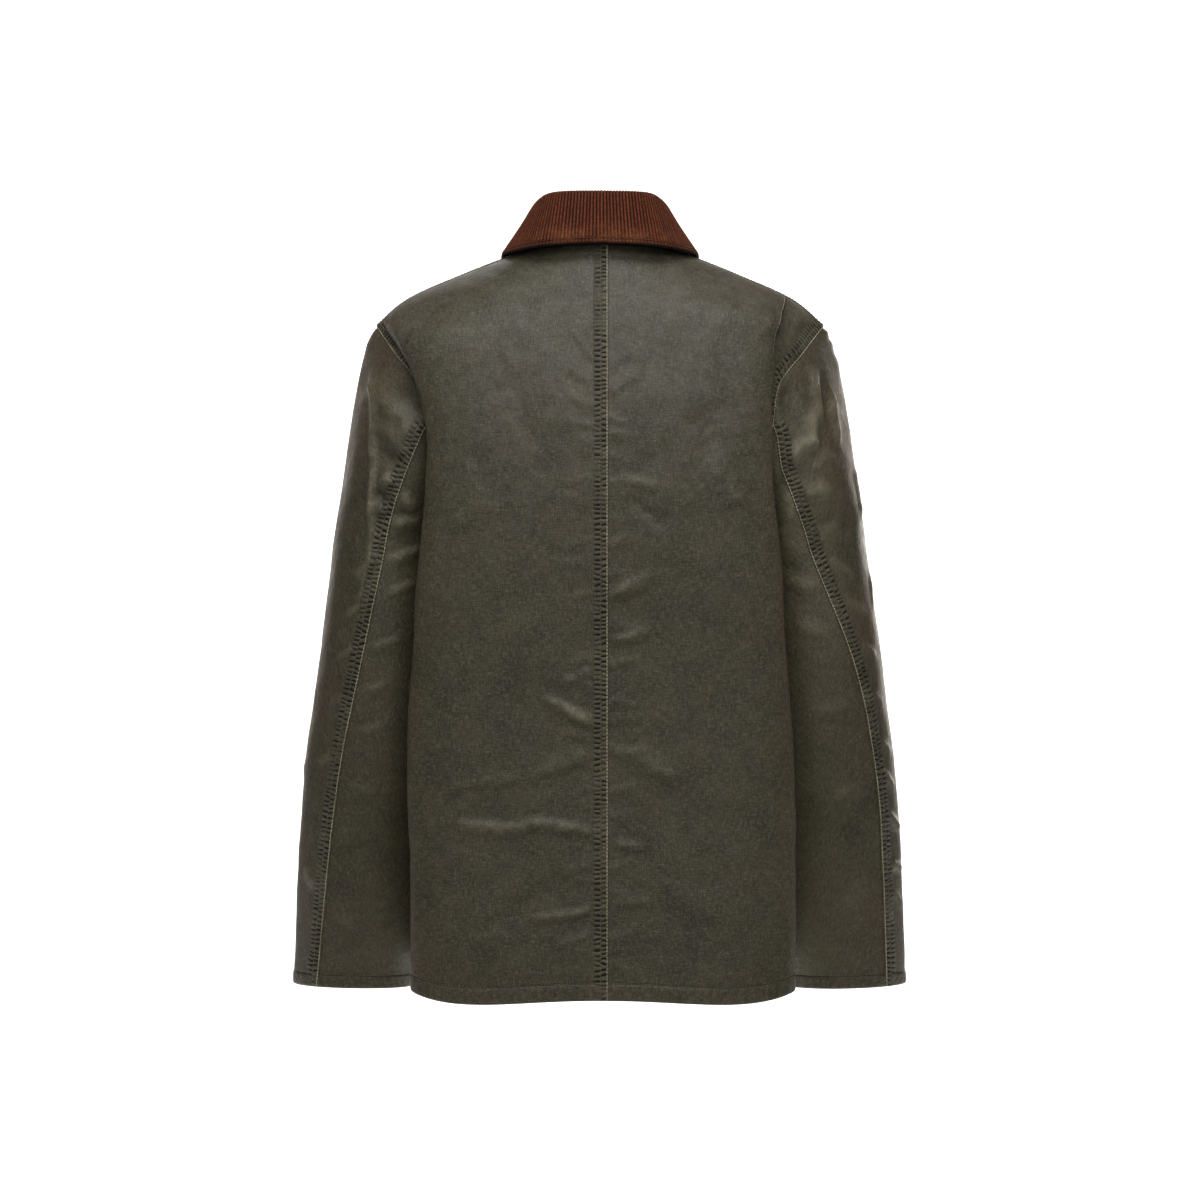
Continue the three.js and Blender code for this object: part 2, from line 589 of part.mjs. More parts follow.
// ---------------------------------------------------------------- buttons
/** A manifold solid of a closed geometry. */
function solidOf(geometry) {
  const bare = geometry.clone();
  bare.deleteAttribute("normal");
  bare.deleteAttribute("uv");
  const merged = mergeVertices(bare, 1e-4);
  return new wasm.Manifold(
    new wasm.Mesh({
      numProp: 3,
      vertProperties: new Float32Array(merged.attributes.position.array),
      triVerts: new Uint32Array(merged.index.array),
    }),
  );
}

/** A geometry of a manifold solid. */
function geometryOf(solid) {
  const mesh = solid.getMesh();
  const geometry = new THREE.BufferGeometry();
  const position = Float32Array.from(mesh.vertProperties);
  geometry.setAttribute("position", new THREE.Float32BufferAttribute(position, 3));
  geometry.setIndex([...mesh.triVerts]);
  geometry.computeVertexNormals();
  return geometry;
}

/** A dished four-hole button. It is turned about Y, with its face towards +Y. */
function buttonGeometry() {
  const { radius, thick, back, waist, rim, dish, hole, holeAt, sides } = BUTTON;
  const profile = [
    [0, 0],
    [radius - back, 0],
    [radius, waist],
    [radius - rim / 4, thick - dish / 2],
    [radius - (3 * rim) / 4, thick],
    [radius - (4 * rim) / 3, thick - dish],
    [0, thick - dish],
  ].map(([r, h]) => new THREE.Vector2(r, h));
  let button = solidOf(new THREE.LatheGeometry(profile, sides));
  for (const x of [-holeAt, holeAt]) {
    for (const z of [-holeAt, holeAt]) {
      const drill = new THREE.CylinderGeometry(hole, hole, thick * 3, 6);
      drill.translate(x / Math.SQRT2, 0, z / Math.SQRT2);
      button = button.subtract(solidOf(drill));
    }
  }
  return geometryOf(button);
}

// ---------------------------------------------------------------- the jacket
const waxedCotton = new THREE.MeshStandardMaterial({ color: 0x46443a, roughness: 0.55, metalness: 0 });
const corduroy = new THREE.MeshStandardMaterial({ color: 0x5c3424, roughness: 0.85, metalness: 0 });
const underCloth = new THREE.MeshStandardMaterial({ color: 0x2c2e2a, roughness: 0.75, metalness: 0 });
const horn = new THREE.MeshStandardMaterial({ color: 0x2b2019, roughness: 0.35, metalness: 0 });

const jacket = new THREE.Group();
const add = (name, geometry, material) => {
  const mesh = new THREE.Mesh(geometry, material);
  mesh.name = name;
  jacket.add(mesh);
  return mesh;
};

for (const [name, side] of [["left", 1], ["right", -1]]) {
  add(`back_${name}`, wallGeometry(backGrid(side), -CLOTH, 0), waxedCotton);
  add(`front_${name}`, wallGeometry(frontGrid(side, name === "right"), -CLOTH, 0), waxedCotton);
  add(`sleeve_top_${name}`, wallGeometry(sleeveGrid(side, true), -CLOTH, 0), waxedCotton);
  add(`sleeve_under_${name}`, wallGeometry(sleeveGrid(side, false), -CLOTH, 0), waxedCotton);
}

const collar = collarGrid();
add("collar_top", wallGeometry(collar, SEAM_GAP / 2, SEAM_GAP / 2 + CORDUROY), corduroy);
add("collar_under", wallGeometry(collar, -SEAM_GAP / 2 - UNDER_COLLAR, -SEAM_GAP / 2), underCloth);

/** The centre line of the upper front at a height: its depth, and its slope out of the upright. */
function centreFront(z) {
  const half = FRONT_HALF;
  let [low, high] = [0, NECK];
  for (let i = 0; i < 40; i += 1) {
    const mid = (low + high) / 2;
    if (bodyPoint(half, mid, 0).z < z) low = mid;
    else high = mid;
  }
  const [below, above] = [bodyPoint(half, low - 0.05, 0), bodyPoint(half, low + 0.05, 0)];
  return { y: bodyPoint(half, low, 0).y, slope: Math.atan2(above.y - below.y, above.z - below.z) };
}

for (let i = 0; i < BUTTON.count; i += 1) {
  const z = BUTTON.top - i * BUTTON.pitch;
  const { y, slope } = centreFront(z);
  const button = add(`button_${i + 1}`, buttonGeometry(), horn);
  button.position.set(0, y - LAP_LIFT - SEAM_GAP * 2, z);
  button.rotation.set(Math.PI - slope, 0, 0);
}

export default jacket;
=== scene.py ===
"""A hip-length jacket of waxed cotton with a corduroy collar, buttoned up and filled out as if it were worn.

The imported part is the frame: its solids keep their places and their sizes, and the pieces made here stand
for them with the cloth's creases, felled seams, turned hems, stitching and wales. The body and the sleeves
are smooth worn forms, worked out from the sizes of their sections. The cloth's relief is laid on those forms,
and every seam is laid on the cloth that results. Tables are in millimetres and degrees, and everything else
is in metres. +Z is up, the front faces -Y and the wearer's left is +X.
"""

import logging
import math
from dataclasses import dataclass, field
from enum import Enum
from typing import Callable, Sequence

import bpy
import numpy as np
from mathutils import Matrix, Vector
from mathutils.bvhtree import BVHTree


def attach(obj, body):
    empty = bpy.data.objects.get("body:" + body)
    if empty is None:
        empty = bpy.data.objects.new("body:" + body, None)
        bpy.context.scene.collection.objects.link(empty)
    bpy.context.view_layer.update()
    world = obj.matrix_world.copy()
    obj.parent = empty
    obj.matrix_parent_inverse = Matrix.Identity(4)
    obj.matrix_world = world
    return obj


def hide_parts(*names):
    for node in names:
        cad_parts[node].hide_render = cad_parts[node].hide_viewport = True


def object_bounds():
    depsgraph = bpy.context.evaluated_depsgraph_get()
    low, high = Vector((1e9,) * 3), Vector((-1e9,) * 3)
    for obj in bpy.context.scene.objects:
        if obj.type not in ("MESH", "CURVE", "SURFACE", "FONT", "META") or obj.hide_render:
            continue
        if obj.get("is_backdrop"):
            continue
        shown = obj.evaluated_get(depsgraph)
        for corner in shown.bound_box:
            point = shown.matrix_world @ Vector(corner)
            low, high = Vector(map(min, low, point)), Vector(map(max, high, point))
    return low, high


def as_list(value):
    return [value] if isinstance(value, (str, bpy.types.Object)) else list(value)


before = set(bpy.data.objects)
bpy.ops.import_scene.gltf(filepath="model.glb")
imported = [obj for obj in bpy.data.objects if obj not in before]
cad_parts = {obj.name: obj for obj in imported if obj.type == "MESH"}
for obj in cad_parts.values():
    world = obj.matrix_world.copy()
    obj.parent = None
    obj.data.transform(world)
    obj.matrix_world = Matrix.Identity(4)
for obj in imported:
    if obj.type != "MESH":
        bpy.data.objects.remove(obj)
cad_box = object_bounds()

logging.basicConfig(level=logging.INFO, format="%(name)s: %(message)s")
log = logging.getLogger("jacket")

MM = 0.001
Array = np.ndarray
Object, Material = bpy.types.Object, bpy.types.Material
Tree, Socket = bpy.types.NodeTree, bpy.types.NodeSocket


# ------------------------------------------------------------------ sizes read on smooth curves
def smooth(t: Array | float) -> Array:
    """Eases from 0 to 1 as t goes from 0 to 1, and stays there outside."""
    s = np.clip(t, 0.0, 1.0)
    return s * s * (3 - 2 * s)


def through(rows: Array, at: Array) -> Array:
    """Reads rows of values on the smooth curve that passes through all of them.

    Args:
        rows: one row of values for each step of the curve.
        at: places on it, counted in rows.

    Returns:
        The values at those places, with one more axis than `at`.
    """
    before, after = 2 * rows[0] - rows[1], 2 * rows[-1] - rows[-2]
    padded = np.vstack([before, rows, after])
    i = np.clip(np.floor(at).astype(int), 0, len(rows) - 2)
    t = (at - i)[..., None]
    p0, p1, p2, p3 = (padded[i + k] for k in range(4))
    m1, m2 = (p2 - p0) / 2, (p3 - p1) / 2
    t2, t3 = t * t, t * t * t
    return p1 * (2 * t3 - 3 * t2 + 1) + m1 * (t3 - 2 * t2 + t) + p2 * (3 * t2 - 2 * t3) + m2 * (t3 - t2)


def cubic(a: Array, b: Array, c: Array, d: Array, t: Array) -> Array:
    """Points on a cubic curve, at t from 0 to 1.

    Args:
        a: where it starts.
        b: the first handle.
        c: the second handle.
        d: where it ends.
        t: places on it.

    Returns:
        The points.
    """
    t = t[..., None]
    s = 1 - t
    return s * s * s * a + 3 * s * s * t * b + 3 * s * t * t * c + t * t * t * d


def stack(*parts: Array) -> Array:
    """Puts coordinates together as points, on a new last axis."""
    return np.stack(np.broadcast_arrays(*parts), axis=-1)


def unit(vectors: Array) -> Array:
    """The same directions with a length of 1."""
    return vectors / np.maximum(np.linalg.norm(vectors, axis=-1, keepdims=True), 1e-12)


@dataclass(frozen=True)
class Sizes:
    """Rows of sizes with named columns."""

    columns: tuple[str, ...]
    rows: Array

    @classmethod
    def of(cls, columns: str, *rows: tuple[float, ...]) -> "Sizes":
        """Makes the table from its column names and its rows."""
        return cls(tuple(columns.split()), np.array(rows, dtype=float))

    def at(self, place: Array) -> dict[str, Array]:
        """Every column's value at places counted in rows."""
        values = through(self.rows, np.asarray(place, dtype=float))
        return {name: values[..., k] for k, name in enumerate(self.columns)}

    @property
    def last(self) -> int:
        """The number of the last row."""
        return len(self.rows) - 1


# Side seam from the hem up to the underarm; armhole from the underarm up to the shoulder point, behind and in
# front; shoulder seam from the shoulder point up to the side neck point. slack is how much further out the
# left armhole lies, and the right one further in.
SIDE_SEAM = Sizes.of(
    "x y z",
    (163, -5, -698),
    (160, -6, -600),
    (156, -7, -480),
    (152, -8, -370),
    (150, -9, -300),
    (152, -10, -258),
)
ARMHOLE_BACK = Sizes.of(
    "x y z slack",
    (152, -10, -258, 0),
    (156, 34, -243, 0),
    (161, 60, -209, 0),
    (165, 70, -172, 0),
    (172, 67, -134, 1),
    (196, 46, -102, 1),
    (218, 2, -72, 0),
)
ARMHOLE_FRONT = Sizes.of(
    "x y z slack",
    (152, -10, -258, 0),
    (156, -52, -240, 0),
    (161, -76, -202, 0),
    (167, -84, -165, 0),
    (178, -74, -128, 0),
    (199, -44, -97, 0),
    (218, 2, -72, 0),
)
SHOULDER_SEAM = Sizes.of("x y z", (218, 2, -72), (186, 3, -46), (134, 4, -23), (76, 4, 0))

# Half sections of the body from the hem up to the neck. z and y place the centre line, flat is the share of
# the crest's width that stays level, seam_turn and seam_in are the direction and the handle at the seam, and
# lift is how early a front section climbs on its way to the seam.
BACK = Sizes.of(
    "z y flat seam_turn seam_in",
    (-716, 116, 0.56, 90, 34),
    (-600, 112, 0.58, 90, 32),
    (-480, 110, 0.6, 90, 30),
    (-370, 113, 0.6, 90, 30),
    (-298, 116, 0.6, 88, 30),
    (-250, 117, 0.6, 84, 28),
    (-216, 116, 0.6, 60, 16),
    (-184, 115, 0.6, 48, 9),
    (-150, 112, 0.58, 40, 7),
    (-118, 107, 0.55, 40, 8),
    (-90, 101, 0.5, 44, 12),
    (-67, 94, 0.46, 56, 15),
    (-46, 87, 0.43, 90, 14),
    (-26, 80, 0.43, 90, 13),
    (-1.5, 70.5, 0.43, 90, 11),
)
# Where the back turns to the side: the crest's place, the direction there, and the handles on its two sides.
BACK_CREST_LEFT = Sizes.of(
    "x y turn into out",
    (180, 74, 84, 26, 20),
    (181.5, 73, 90, 24, 22),
    (184, 73, 92, 22, 24),
    (177.5, 77, 94, 22, 24),
    (171.5, 82, 97, 20, 22),
    (167, 86, 102, 18, 18),
    (164.5, 88, 108, 16, 14),
    (163.2, 89, 114, 15, 10),
    (168, 86, 112, 16, 8),
    (180, 78, 100, 20, 7),
    (195, 62, 78, 28, 8),
    (201, 40, 52, 40, 12),
    (170, 38, 44, 44, 15),
    (121, 37, 48, 34, 14),
    (68, 34, 62, 27, 11),
)
BACK_CREST_RIGHT = Sizes.of(
    "x y turn into out",
    (185.5, 74, 84, 26, 20),
    (187, 72, 90, 24, 22),
    (184, 72, 92, 22, 24),
    (176, 77, 94, 22, 24),
    (172.5, 82, 97, 20, 22),
    (167, 86, 102, 18, 18),
    (164, 88, 108, 16, 14),
    (163.8, 90, 114, 14, 10),
    (163, 91, 118, 14, 8),
    (163, 88, 118, 15, 10),
    (164.5, 81, 108, 18, 13),
    (172, 66, 78, 28, 17),
    (167, 42, 44, 44, 16),
    (121, 37, 48, 34, 14),
    (68, 34, 62, 27, 11),
)
FRONT = Sizes.of(
    "z y flat lift seam_turn seam_in",
    (-712, -122, 0.5, 1.6, 90, 34),
    (-600, -126, 0.5, 1.6, 90, 34),
    (-480, -130, 0.5, 1.6, 90, 34),
    (-374, -134, 0.5, 1.6, 90, 34),
    (-310, -136, 0.5, 1.6, 90, 32),
    (-272, -136, 0.5, 1.6, 86, 28),
    (-246, -135, 0.5, 1.6, 82, 20),
    (-222, -132, 0.49, 1.6, 72, 12),
    (-198, -128, 0.48, 1.6, 60, 9),
    (-176, -122, 0.46, 1.65, 52, 12),
    (-156, -115, 0.45, 1.75, 48, 18),
    (-137, -107, 0.44, 1.9, 60, 24),
    (-118, -98, 0.43, 2.2, 90, 18),
    (-98, -89, 0.43, 2.9, 90, 14),
    (-78, -78, 0.43, 3.6, 90, 12),
)
FRONT_CORNER = Sizes.of(
    "x y turn into out",
    (158, -84, 72, 34, 24),
    (157, -86, 74, 34, 24),
    (156, -88, 76, 34, 24),
    (154, -92, 76, 32, 24),
    (153, -96, 76, 30, 24),
    (153, -98, 76, 28, 22),
    (152, -102, 66, 28, 18),
    (150, -106, 54, 28, 13),
    (148, -106, 44, 30, 12),
    (146, -101, 36, 34, 16),
    (146, -90, 34, 38, 22),
    (150, -72, 36, 42, 26),
    (146, -56, 42, 42, 18),
    (118, -43, 48, 36, 15),
    (68, -37, 62, 29, 12),
)
# Level rings of a sleeve below the underarm: its reach from the body's centre line, its middle and depth from
# front to back, and the angle of its seams from its outer point.
RINGS = Sizes.of(
    "z outer inner mid deep back_left back_right front",
    (-292, 261.5, 154.5, -8, 128, 89, 84, -112),
    (-400, 276.5, 161.5, -12, 121, 78.5, 62.5, -104),
    (-500, 289.5, 168, -22, 110, 68, 51, -98),
    (-600, 298.5, 175.5, -36, 96, 62.5, 50, -94),
    (-720, 304.5, 186, -54, 78, 55, 51, -92),
)
# The collar from centre back to centre front: the place of its stand on the neckline, where 2 is the shoulder
# seam and 4 the centre front, then its crest, then its free edge.
COLLAR = Sizes.of(
    "round crest_x crest_y crest_z edge_x edge_y edge_z",
    (0, 0, 60, 51.5, 0, 87, -0.5),
    (0.5, 35, 53, 52, 41, 82, -2),
    (0.85, 52, 37, 51.5, 67, 68, -3.5),
    (1.3, 60.5, 16, 47, 87, 39, -4.4),
    (2, 63, -6, 39, 95, 6, -3.6),
    (2.65, 58, -33, 24, 95, -34, -16),
    (3.1, 47, -56, 3, 88, -72, -44),
    (3.5, 30, -73, -24, 73, -97, -80),
    (3.93, 10, -83, -46, 53, -108, -110),
)

UNDERARM = SIDE_SEAM.last
SHOULDER = UNDERARM + ARMHOLE_BACK.last
NECK = SHOULDER + SHOULDER_SEAM.last
SEAM_AT_ARMHOLE = {"back": 90, "front": -120}
SEAM_SWING = {"left": 3, "right": 17}

CLOTH = 1.6 * MM
SEAM_GAP = 0.3 * MM
OVERLAP = 20
LAP_LIFT = 2.3
LAP_BLEND = 45
HEM_LOBE = 6
HEIGHT_GAIN, RUB_AND_PAINTED_LIGHT_GAIN = 1.45, 1.5
OPENED_STEPS = (56, 80)
CUFF_TILT = 3
CAP_REACH, CAP_SETTLE, CAP_LEAST = 64, 200, 1
COLLAR_ROLL = 5
STAND_INSIDE, STAND_DEEP = 3.1, 3.6


class Side(Enum):
    """The wearer's side, with its direction along X."""

    LEFT = 1
    RIGHT = -1

    @property
    def word(self) -> str:
        """The side's name, as the part spells it."""
        return self.name.lower()

    @property
    def sign(self) -> int:
        """1 on the left and -1 on the right."""
        return self.value


# ------------------------------------------------------------------ the cloth's relief
@dataclass(frozen=True)
class Lattice:
    """Soft noise from seeded values on a lattice that repeats."""

    seed: int
    size: int = 24

    def at(self, points: Array, scale: float) -> Array:
        """Reads the noise.

        Args:
            points: places in metres.
            scale: the distance between lattice points in metres.

        Returns:
            Values from about -1 to 1.
        """
        values = np.random.default_rng(self.seed).uniform(-1, 1, (self.size,) * 3)
        p = np.asarray(points) / scale
        i = np.floor(p).astype(int)
        f = smooth(p - i)
        total = np.zeros(p.shape[:-1])
        for corner in np.ndindex(2, 2, 2):
            c = np.array(corner)
            weight = np.prod(np.where(c == 1, f, 1 - f), axis=-1)
            j = (i + c) % self.size
            total += weight * values[j[..., 0], j[..., 1], j[..., 2]]
        return total


@dataclass(frozen=True)
class Crease:
    """A soft uneven ridge in the cloth, or a trough where its height is negative.

    start and end are (across, z) in millimetres, on the piece laid open from its centre line. upper and lower
    are its half widths above and below the line, bow is how far its middle hangs below the straight line, and
    rub is how much paler its ridge is painted, partly as worn wax and partly as painted highlight, and where
    that is negative, how much darker its trough is painted, as painted shade.
    """

    start: tuple[float, float]
    end: tuple[float, float]
    height: float
    upper: float
    lower: float
    bow: float = 0.0
    rub: float = 0.0

    def shape(self, across: Array, z: Array, waver: Array) -> Array:
        """Reads the crease.

        Args:
            across: places on the opened piece in millimetres from its centre line.
            z: their height in millimetres.
            waver: a slow noise there, which makes it uneven.

        Returns:
            Its height as a share of its full height.
        """
        start, end = np.array(self.start), np.array(self.end)
        length = float(np.hypot(*(end - start)))
        along = (end - start) / length
        over = np.array([-along[1], along[0]])
        if over[1] < 0 or (over[1] == 0 and over[0] < 0):
            over = -over
        dx, dz = across - start[0], z - start[1]
        t = (dx * along[0] + dz * along[1]) / length
        sag = self.bow * 4 * t * (1 - t)
        away = dx * over[0] + dz * over[1] + sag + waver * 0.16 * length**0.5 * 2
        width = np.where(away > 0, self.upper, self.lower)
        fade = smooth((t + 0.12) / 0.4) * smooth((1.12 - t) / 0.4)
        return np.exp(-((away / width) ** 2)) * fade * (1 + 0.35 * waver)


@dataclass(frozen=True)
class Relief:
    """All that lifts the cloth off its smooth worn form."""

    creases: tuple[Crease, ...] = ()
    swell: float = 0.7
    crinkle: float = 0.16
    seed: int = 1

    def at(self, points: Array, across: Array, z: Array) -> tuple[Array, Array]:
        """Reads the relief.

        Args:
            points: places on the smooth form in metres.
            across: the same places on the opened piece in millimetres from its centre line.
            z: their height in millimetres.

        Returns:
            The height of the cloth in metres, and how much paler it is painted, up to 1, as worn wax and
            painted highlight, and where negative how much darker, down to -1, as painted shade.
        """
        slow = Lattice(self.seed)
        height = self.swell * slow.at(points, 0.055) + 0.45 * self.swell * slow.at(points + 3.1, 0.026)
        height = height + self.crinkle * slow.at(points + 7.7, 0.011)
        waver = slow.at(points + 1.3, 0.03)
        rubbed, darkened = np.zeros_like(height), np.zeros_like(height)
        fine = slow.at(points + 5.5, 0.0062)
        for crease in self.creases:
            shape = crease.shape(across, z, waver)
            height = height + crease.height * HEIGHT_GAIN * shape * (1 + 0.26 * fine)
            # each crease paints its ridge paler, as worn wax and painted highlight, and a negative rub paints
            # its trough darker, as painted shade
            share = crease.rub * RUB_AND_PAINTED_LIGHT_GAIN * shape * (0.65 + 0.5 * fine)
            rubbed, darkened = np.maximum(rubbed, share), np.minimum(darkened, share)
        return height * MM, np.clip(rubbed + darkened, -1, 1)


# ------------------------------------------------------------------ smooth worn forms with their relief
class Form:
    """A worn form that is read by two places, u and v, with the cloth's relief on it."""

    relief: Relief = Relief()
    u_range: tuple[float, float] = (0.0, 1.0)
    v_range: tuple[float, float] = (0.0, 1.0)
    steps: tuple[float, float] = (0.01, 0.01)
    flip: int = 1

    def smooth_points(self, u: Array, v: Array) -> Array:
        """Reads the smooth form.

        Args:
            u: places along the form.
            v: places across it, of the same shape.

        Returns:
            Its points in metres.
        """
        raise NotImplementedError

    def opened(self, u: Array, v: Array, points: Array) -> Array:
        """Lays the piece open.

        Args:
            u: places along the form.
            v: places across it.
            points: its points there.

        Returns:
            Their distance from the piece's centre line in millimetres, measured over the cloth.
        """
        raise NotImplementedError

    def calm(self, u: Array, v: Array) -> Array | float:
        """How much of the relief there is, so that it dies away at a seam where the form turns."""
        return 1.0

    def normals(self, u: Array, v: Array) -> Array:
        """Finds the outward directions of the smooth form.

        Args:
            u: places along the form.
            v: places across it.

        Returns:
            Directions with a length of 1.
        """
        (du, dv), (u0, u1), (v0, v1) = self.steps, self.u_range, self.v_range
        up, down = np.minimum(u + du, u1), np.maximum(u - du, u0)
        right, left = np.minimum(v + dv, v1), np.maximum(v - dv, v0)
        along = self.smooth_points(up, v) - self.smooth_points(down, v)
        over = self.smooth_points(u, right) - self.smooth_points(u, left)
        return unit(np.cross(over, along)) * self.flip

    def cloth(self, u: Array, v: Array) -> tuple[Array, Array, Array]:
        """The cloth as it lies.

        Args:
            u: places along the form.
            v: places across it, of the same shape.

        Returns:
            Points, outward normals of the smooth form, and how much paler the cloth is painted, as worn wax
            and painted highlight, and where negative how much darker, as painted shade.
        """
        points, normals = self.smooth_points(u, v), self.normals(u, v)
        height, rub = self.relief.at(points, self.opened(u, v, points), points[..., 2] / MM)
        height = height * self.calm(u, v)
        return points + normals * height[..., None], normals, rub

    def run(self, u: Array, v: Array, to: tuple, other: "Form | None" = None) -> tuple[Array, Array, Array]:
        """Follows a line on the cloth.

        Args:
            u: places along the form.
            v: places across it.
            to: the u and v of the places to look to from there.
            other: the form that these are on, if it is another one.

        Returns:
            Points, outward normals, and from each point the way to the place looked to.
        """
        points, normals, _ = self.cloth(*np.broadcast_arrays(u, v))
        return points, normals, (other or self).smooth_points(*np.broadcast_arrays(*to)) - points


@dataclass
class HalfBody(Form):
    """Half of the back or of the front: u counts its sections from the hem, v goes from centre to seam."""

    side: Side
    is_back: bool
    relief: Relief = field(default_factory=Relief)

    def __post_init__(self) -> None:
        """Sets the ranges, and which way the surface faces."""
        self.u_range, self.v_range = (0.0, float(NECK)), (0.0, 2.0)
        self.flip = -self.side.sign * (1 if self.is_back else -1)
        crest = BACK_CREST_LEFT if self.side is Side.LEFT else BACK_CREST_RIGHT
        self.centre, self.crest = (BACK, crest) if self.is_back else (FRONT, FRONT_CORNER)
        self.armhole = ARMHOLE_BACK if self.is_back else ARMHOLE_FRONT
        self.table = None
        self.table = self.opened_table()

    def edge(self, u: Array) -> Array:
        """Reads the outer edge on the wearer's left: side seam, armhole, then shoulder seam.

        Args:
            u: places up it.

        Returns:
            Its points in millimetres.
        """
        side = SIDE_SEAM.at(np.clip(u, 0, UNDERARM))
        hole = self.armhole.at(np.clip(u - UNDERARM, 0, SHOULDER - UNDERARM))
        top = SHOULDER_SEAM.at(np.clip(u - SHOULDER, 0, NECK - SHOULDER))
        hole["x"] = hole["x"] + self.side.sign * hole["slack"]
        kinds = [u <= UNDERARM, u <= SHOULDER]
        return stack(*(np.select(kinds, [side[k], hole[k]], top[k]) for k in "xyz"))

    def heading(self, degrees: Array) -> Array:
        """The direction in plan that is turned from +X, clockwise behind and the other way in front."""
        angle = np.radians(degrees)
        return stack(np.cos(angle), -np.sin(angle) * (1 if self.is_back else -1))

    def smooth_points(self, u: Array, v: Array) -> Array:
        """Reads the half section: v runs 0 to 1 from the centre line to the crest, and 1 to 2 to the seam.

        Args:
            u: places along it.
            v: places across it, of the same shape.

        Returns:
            Its points in metres.
        """
        c, k, edge = self.centre.at(u), self.crest.at(u), self.edge(u)
        crest, seam = stack(k["x"], k["y"]), edge[..., :2]
        turned = self.heading(k["turn"])
        middle, level = stack(0 * c["y"], c["y"]), stack(c["flat"] * k["x"], c["y"])
        inner = cubic(middle, level, crest - turned * k["into"][..., None], crest, np.clip(v, 0, 1))
        settle = seam - self.heading(c["seam_turn"]) * c["seam_in"][..., None]
        outer = cubic(crest, crest + turned * k["out"][..., None], settle, seam, np.clip(v - 1, 0, 1))
        plan = np.where((v <= 1)[..., None], inner, outer)
        share = v / 2
        lobe = np.zeros_like(share)
        if self.is_back:
            rise = share**2
            lobe = HEM_LOBE * np.sin(np.minimum(v, 1) * np.pi) ** 2 * smooth(1 - u)
        else:
            rise = 1 - np.maximum(np.cos(share * np.pi / 2), 0) ** c["lift"]
        z = c["z"] + (edge[..., 2] - c["z"]) * rise - lobe
        return stack(plan[..., 0] * self.side.sign, plan[..., 1], z) * MM

    def opened_table(self) -> Array:
        """The distance over the cloth from the centre line, on a grid of places."""
        rows, columns = (np.linspace(0, end, count + 1) for end, count in zip((NECK, 2), OPENED_STEPS))
        return lengths(self.smooth_points(*np.meshgrid(rows, columns, indexing="ij")), 1) / MM

    def opened(self, u: Array, v: Array, points: Array) -> Array:
        """Measures over the cloth from the centre line, positive on the wearer's left.

        Args:
            u: places along the form.
            v: places across it.
            points: its points there, which are not used.

        Returns:
            Millimetres.
        """
        places = zip((u / NECK, v / 2), OPENED_STEPS)
        a, b = (np.clip(share * count, 0, count - 0.001) for share, count in places)
        i, j = a.astype(int), b.astype(int)
        s, t = a - i, b - j
        table = self.table
        low = table[i, j] * (1 - t) + table[i, j + 1] * t
        high = table[i + 1, j] * (1 - t) + table[i + 1, j + 1] * t
        return (low * (1 - s) + high * s) * self.side.sign

    def calm(self, u: Array, v: Array) -> Array:
        """Lets the relief die away at the armhole and at the neck.

        Args:
            u: places along the form.
            v: places across it.

        Returns:
            The share of the relief that is left.
        """
        hole = (u > UNDERARM - 0.3) & (u < SHOULDER + 0.3)
        at_hole = np.where(hole, smooth((2 - v) / 0.16), smooth((2 - v) / 0.1) * 0.6 + 0.4)
        return at_hole * (0.25 + 0.75 * smooth((NECK - u) / 0.6))


@dataclass
class Overlap(HalfBody):
    """A front. v goes on from 0 to -1 past the centre line to its free edge, and the upper one stands off."""

    upper: bool = False

    def __post_init__(self) -> None:
        """Sets the ranges and finds where the free edge lies."""
        super().__post_init__()
        self.v_range = (-1.0, 2.0)
        self.places = np.linspace(0, NECK, 141)
        low, high = np.zeros(141), np.ones(141)
        for _ in range(26):
            mid = (low + high) / 2
            short = np.abs(super().smooth_points(self.places, mid)[..., 0]) < OVERLAP * MM
            low, high = np.where(short, mid, low), np.where(short, high, mid)
        self.lap = low

    def smooth_points(self, u: Array, v: Array) -> Array:
        """Reads the front: past the centre line it is the mirror image of its own first part.

        Args:
            u: places along it.
            v: places across it, of the same shape.

        Returns:
            Its points in metres.
        """
        if not hasattr(self, "lap"):
            return super().smooth_points(u, v)
        past = np.interp(u, self.places, self.lap) * np.maximum(-v, 0)
        points = super().smooth_points(u, np.where(v < 0, past, v))
        points[..., 0] = np.where(v < 0, -points[..., 0], points[..., 0])
        if self.upper:
            inwards = points[..., 0] * self.side.sign / MM
            points[..., 1] -= LAP_LIFT * MM * smooth((LAP_BLEND + OVERLAP - inwards) / LAP_BLEND)
        return points

    def opened(self, u: Array, v: Array, points: Array) -> Array:
        """The distance over the cloth from the centre line, negative past it on the wearer's left front."""
        own = super().opened(u, np.maximum(v, 0), points)
        return np.where(v < 0, points[..., 0] / MM, own)


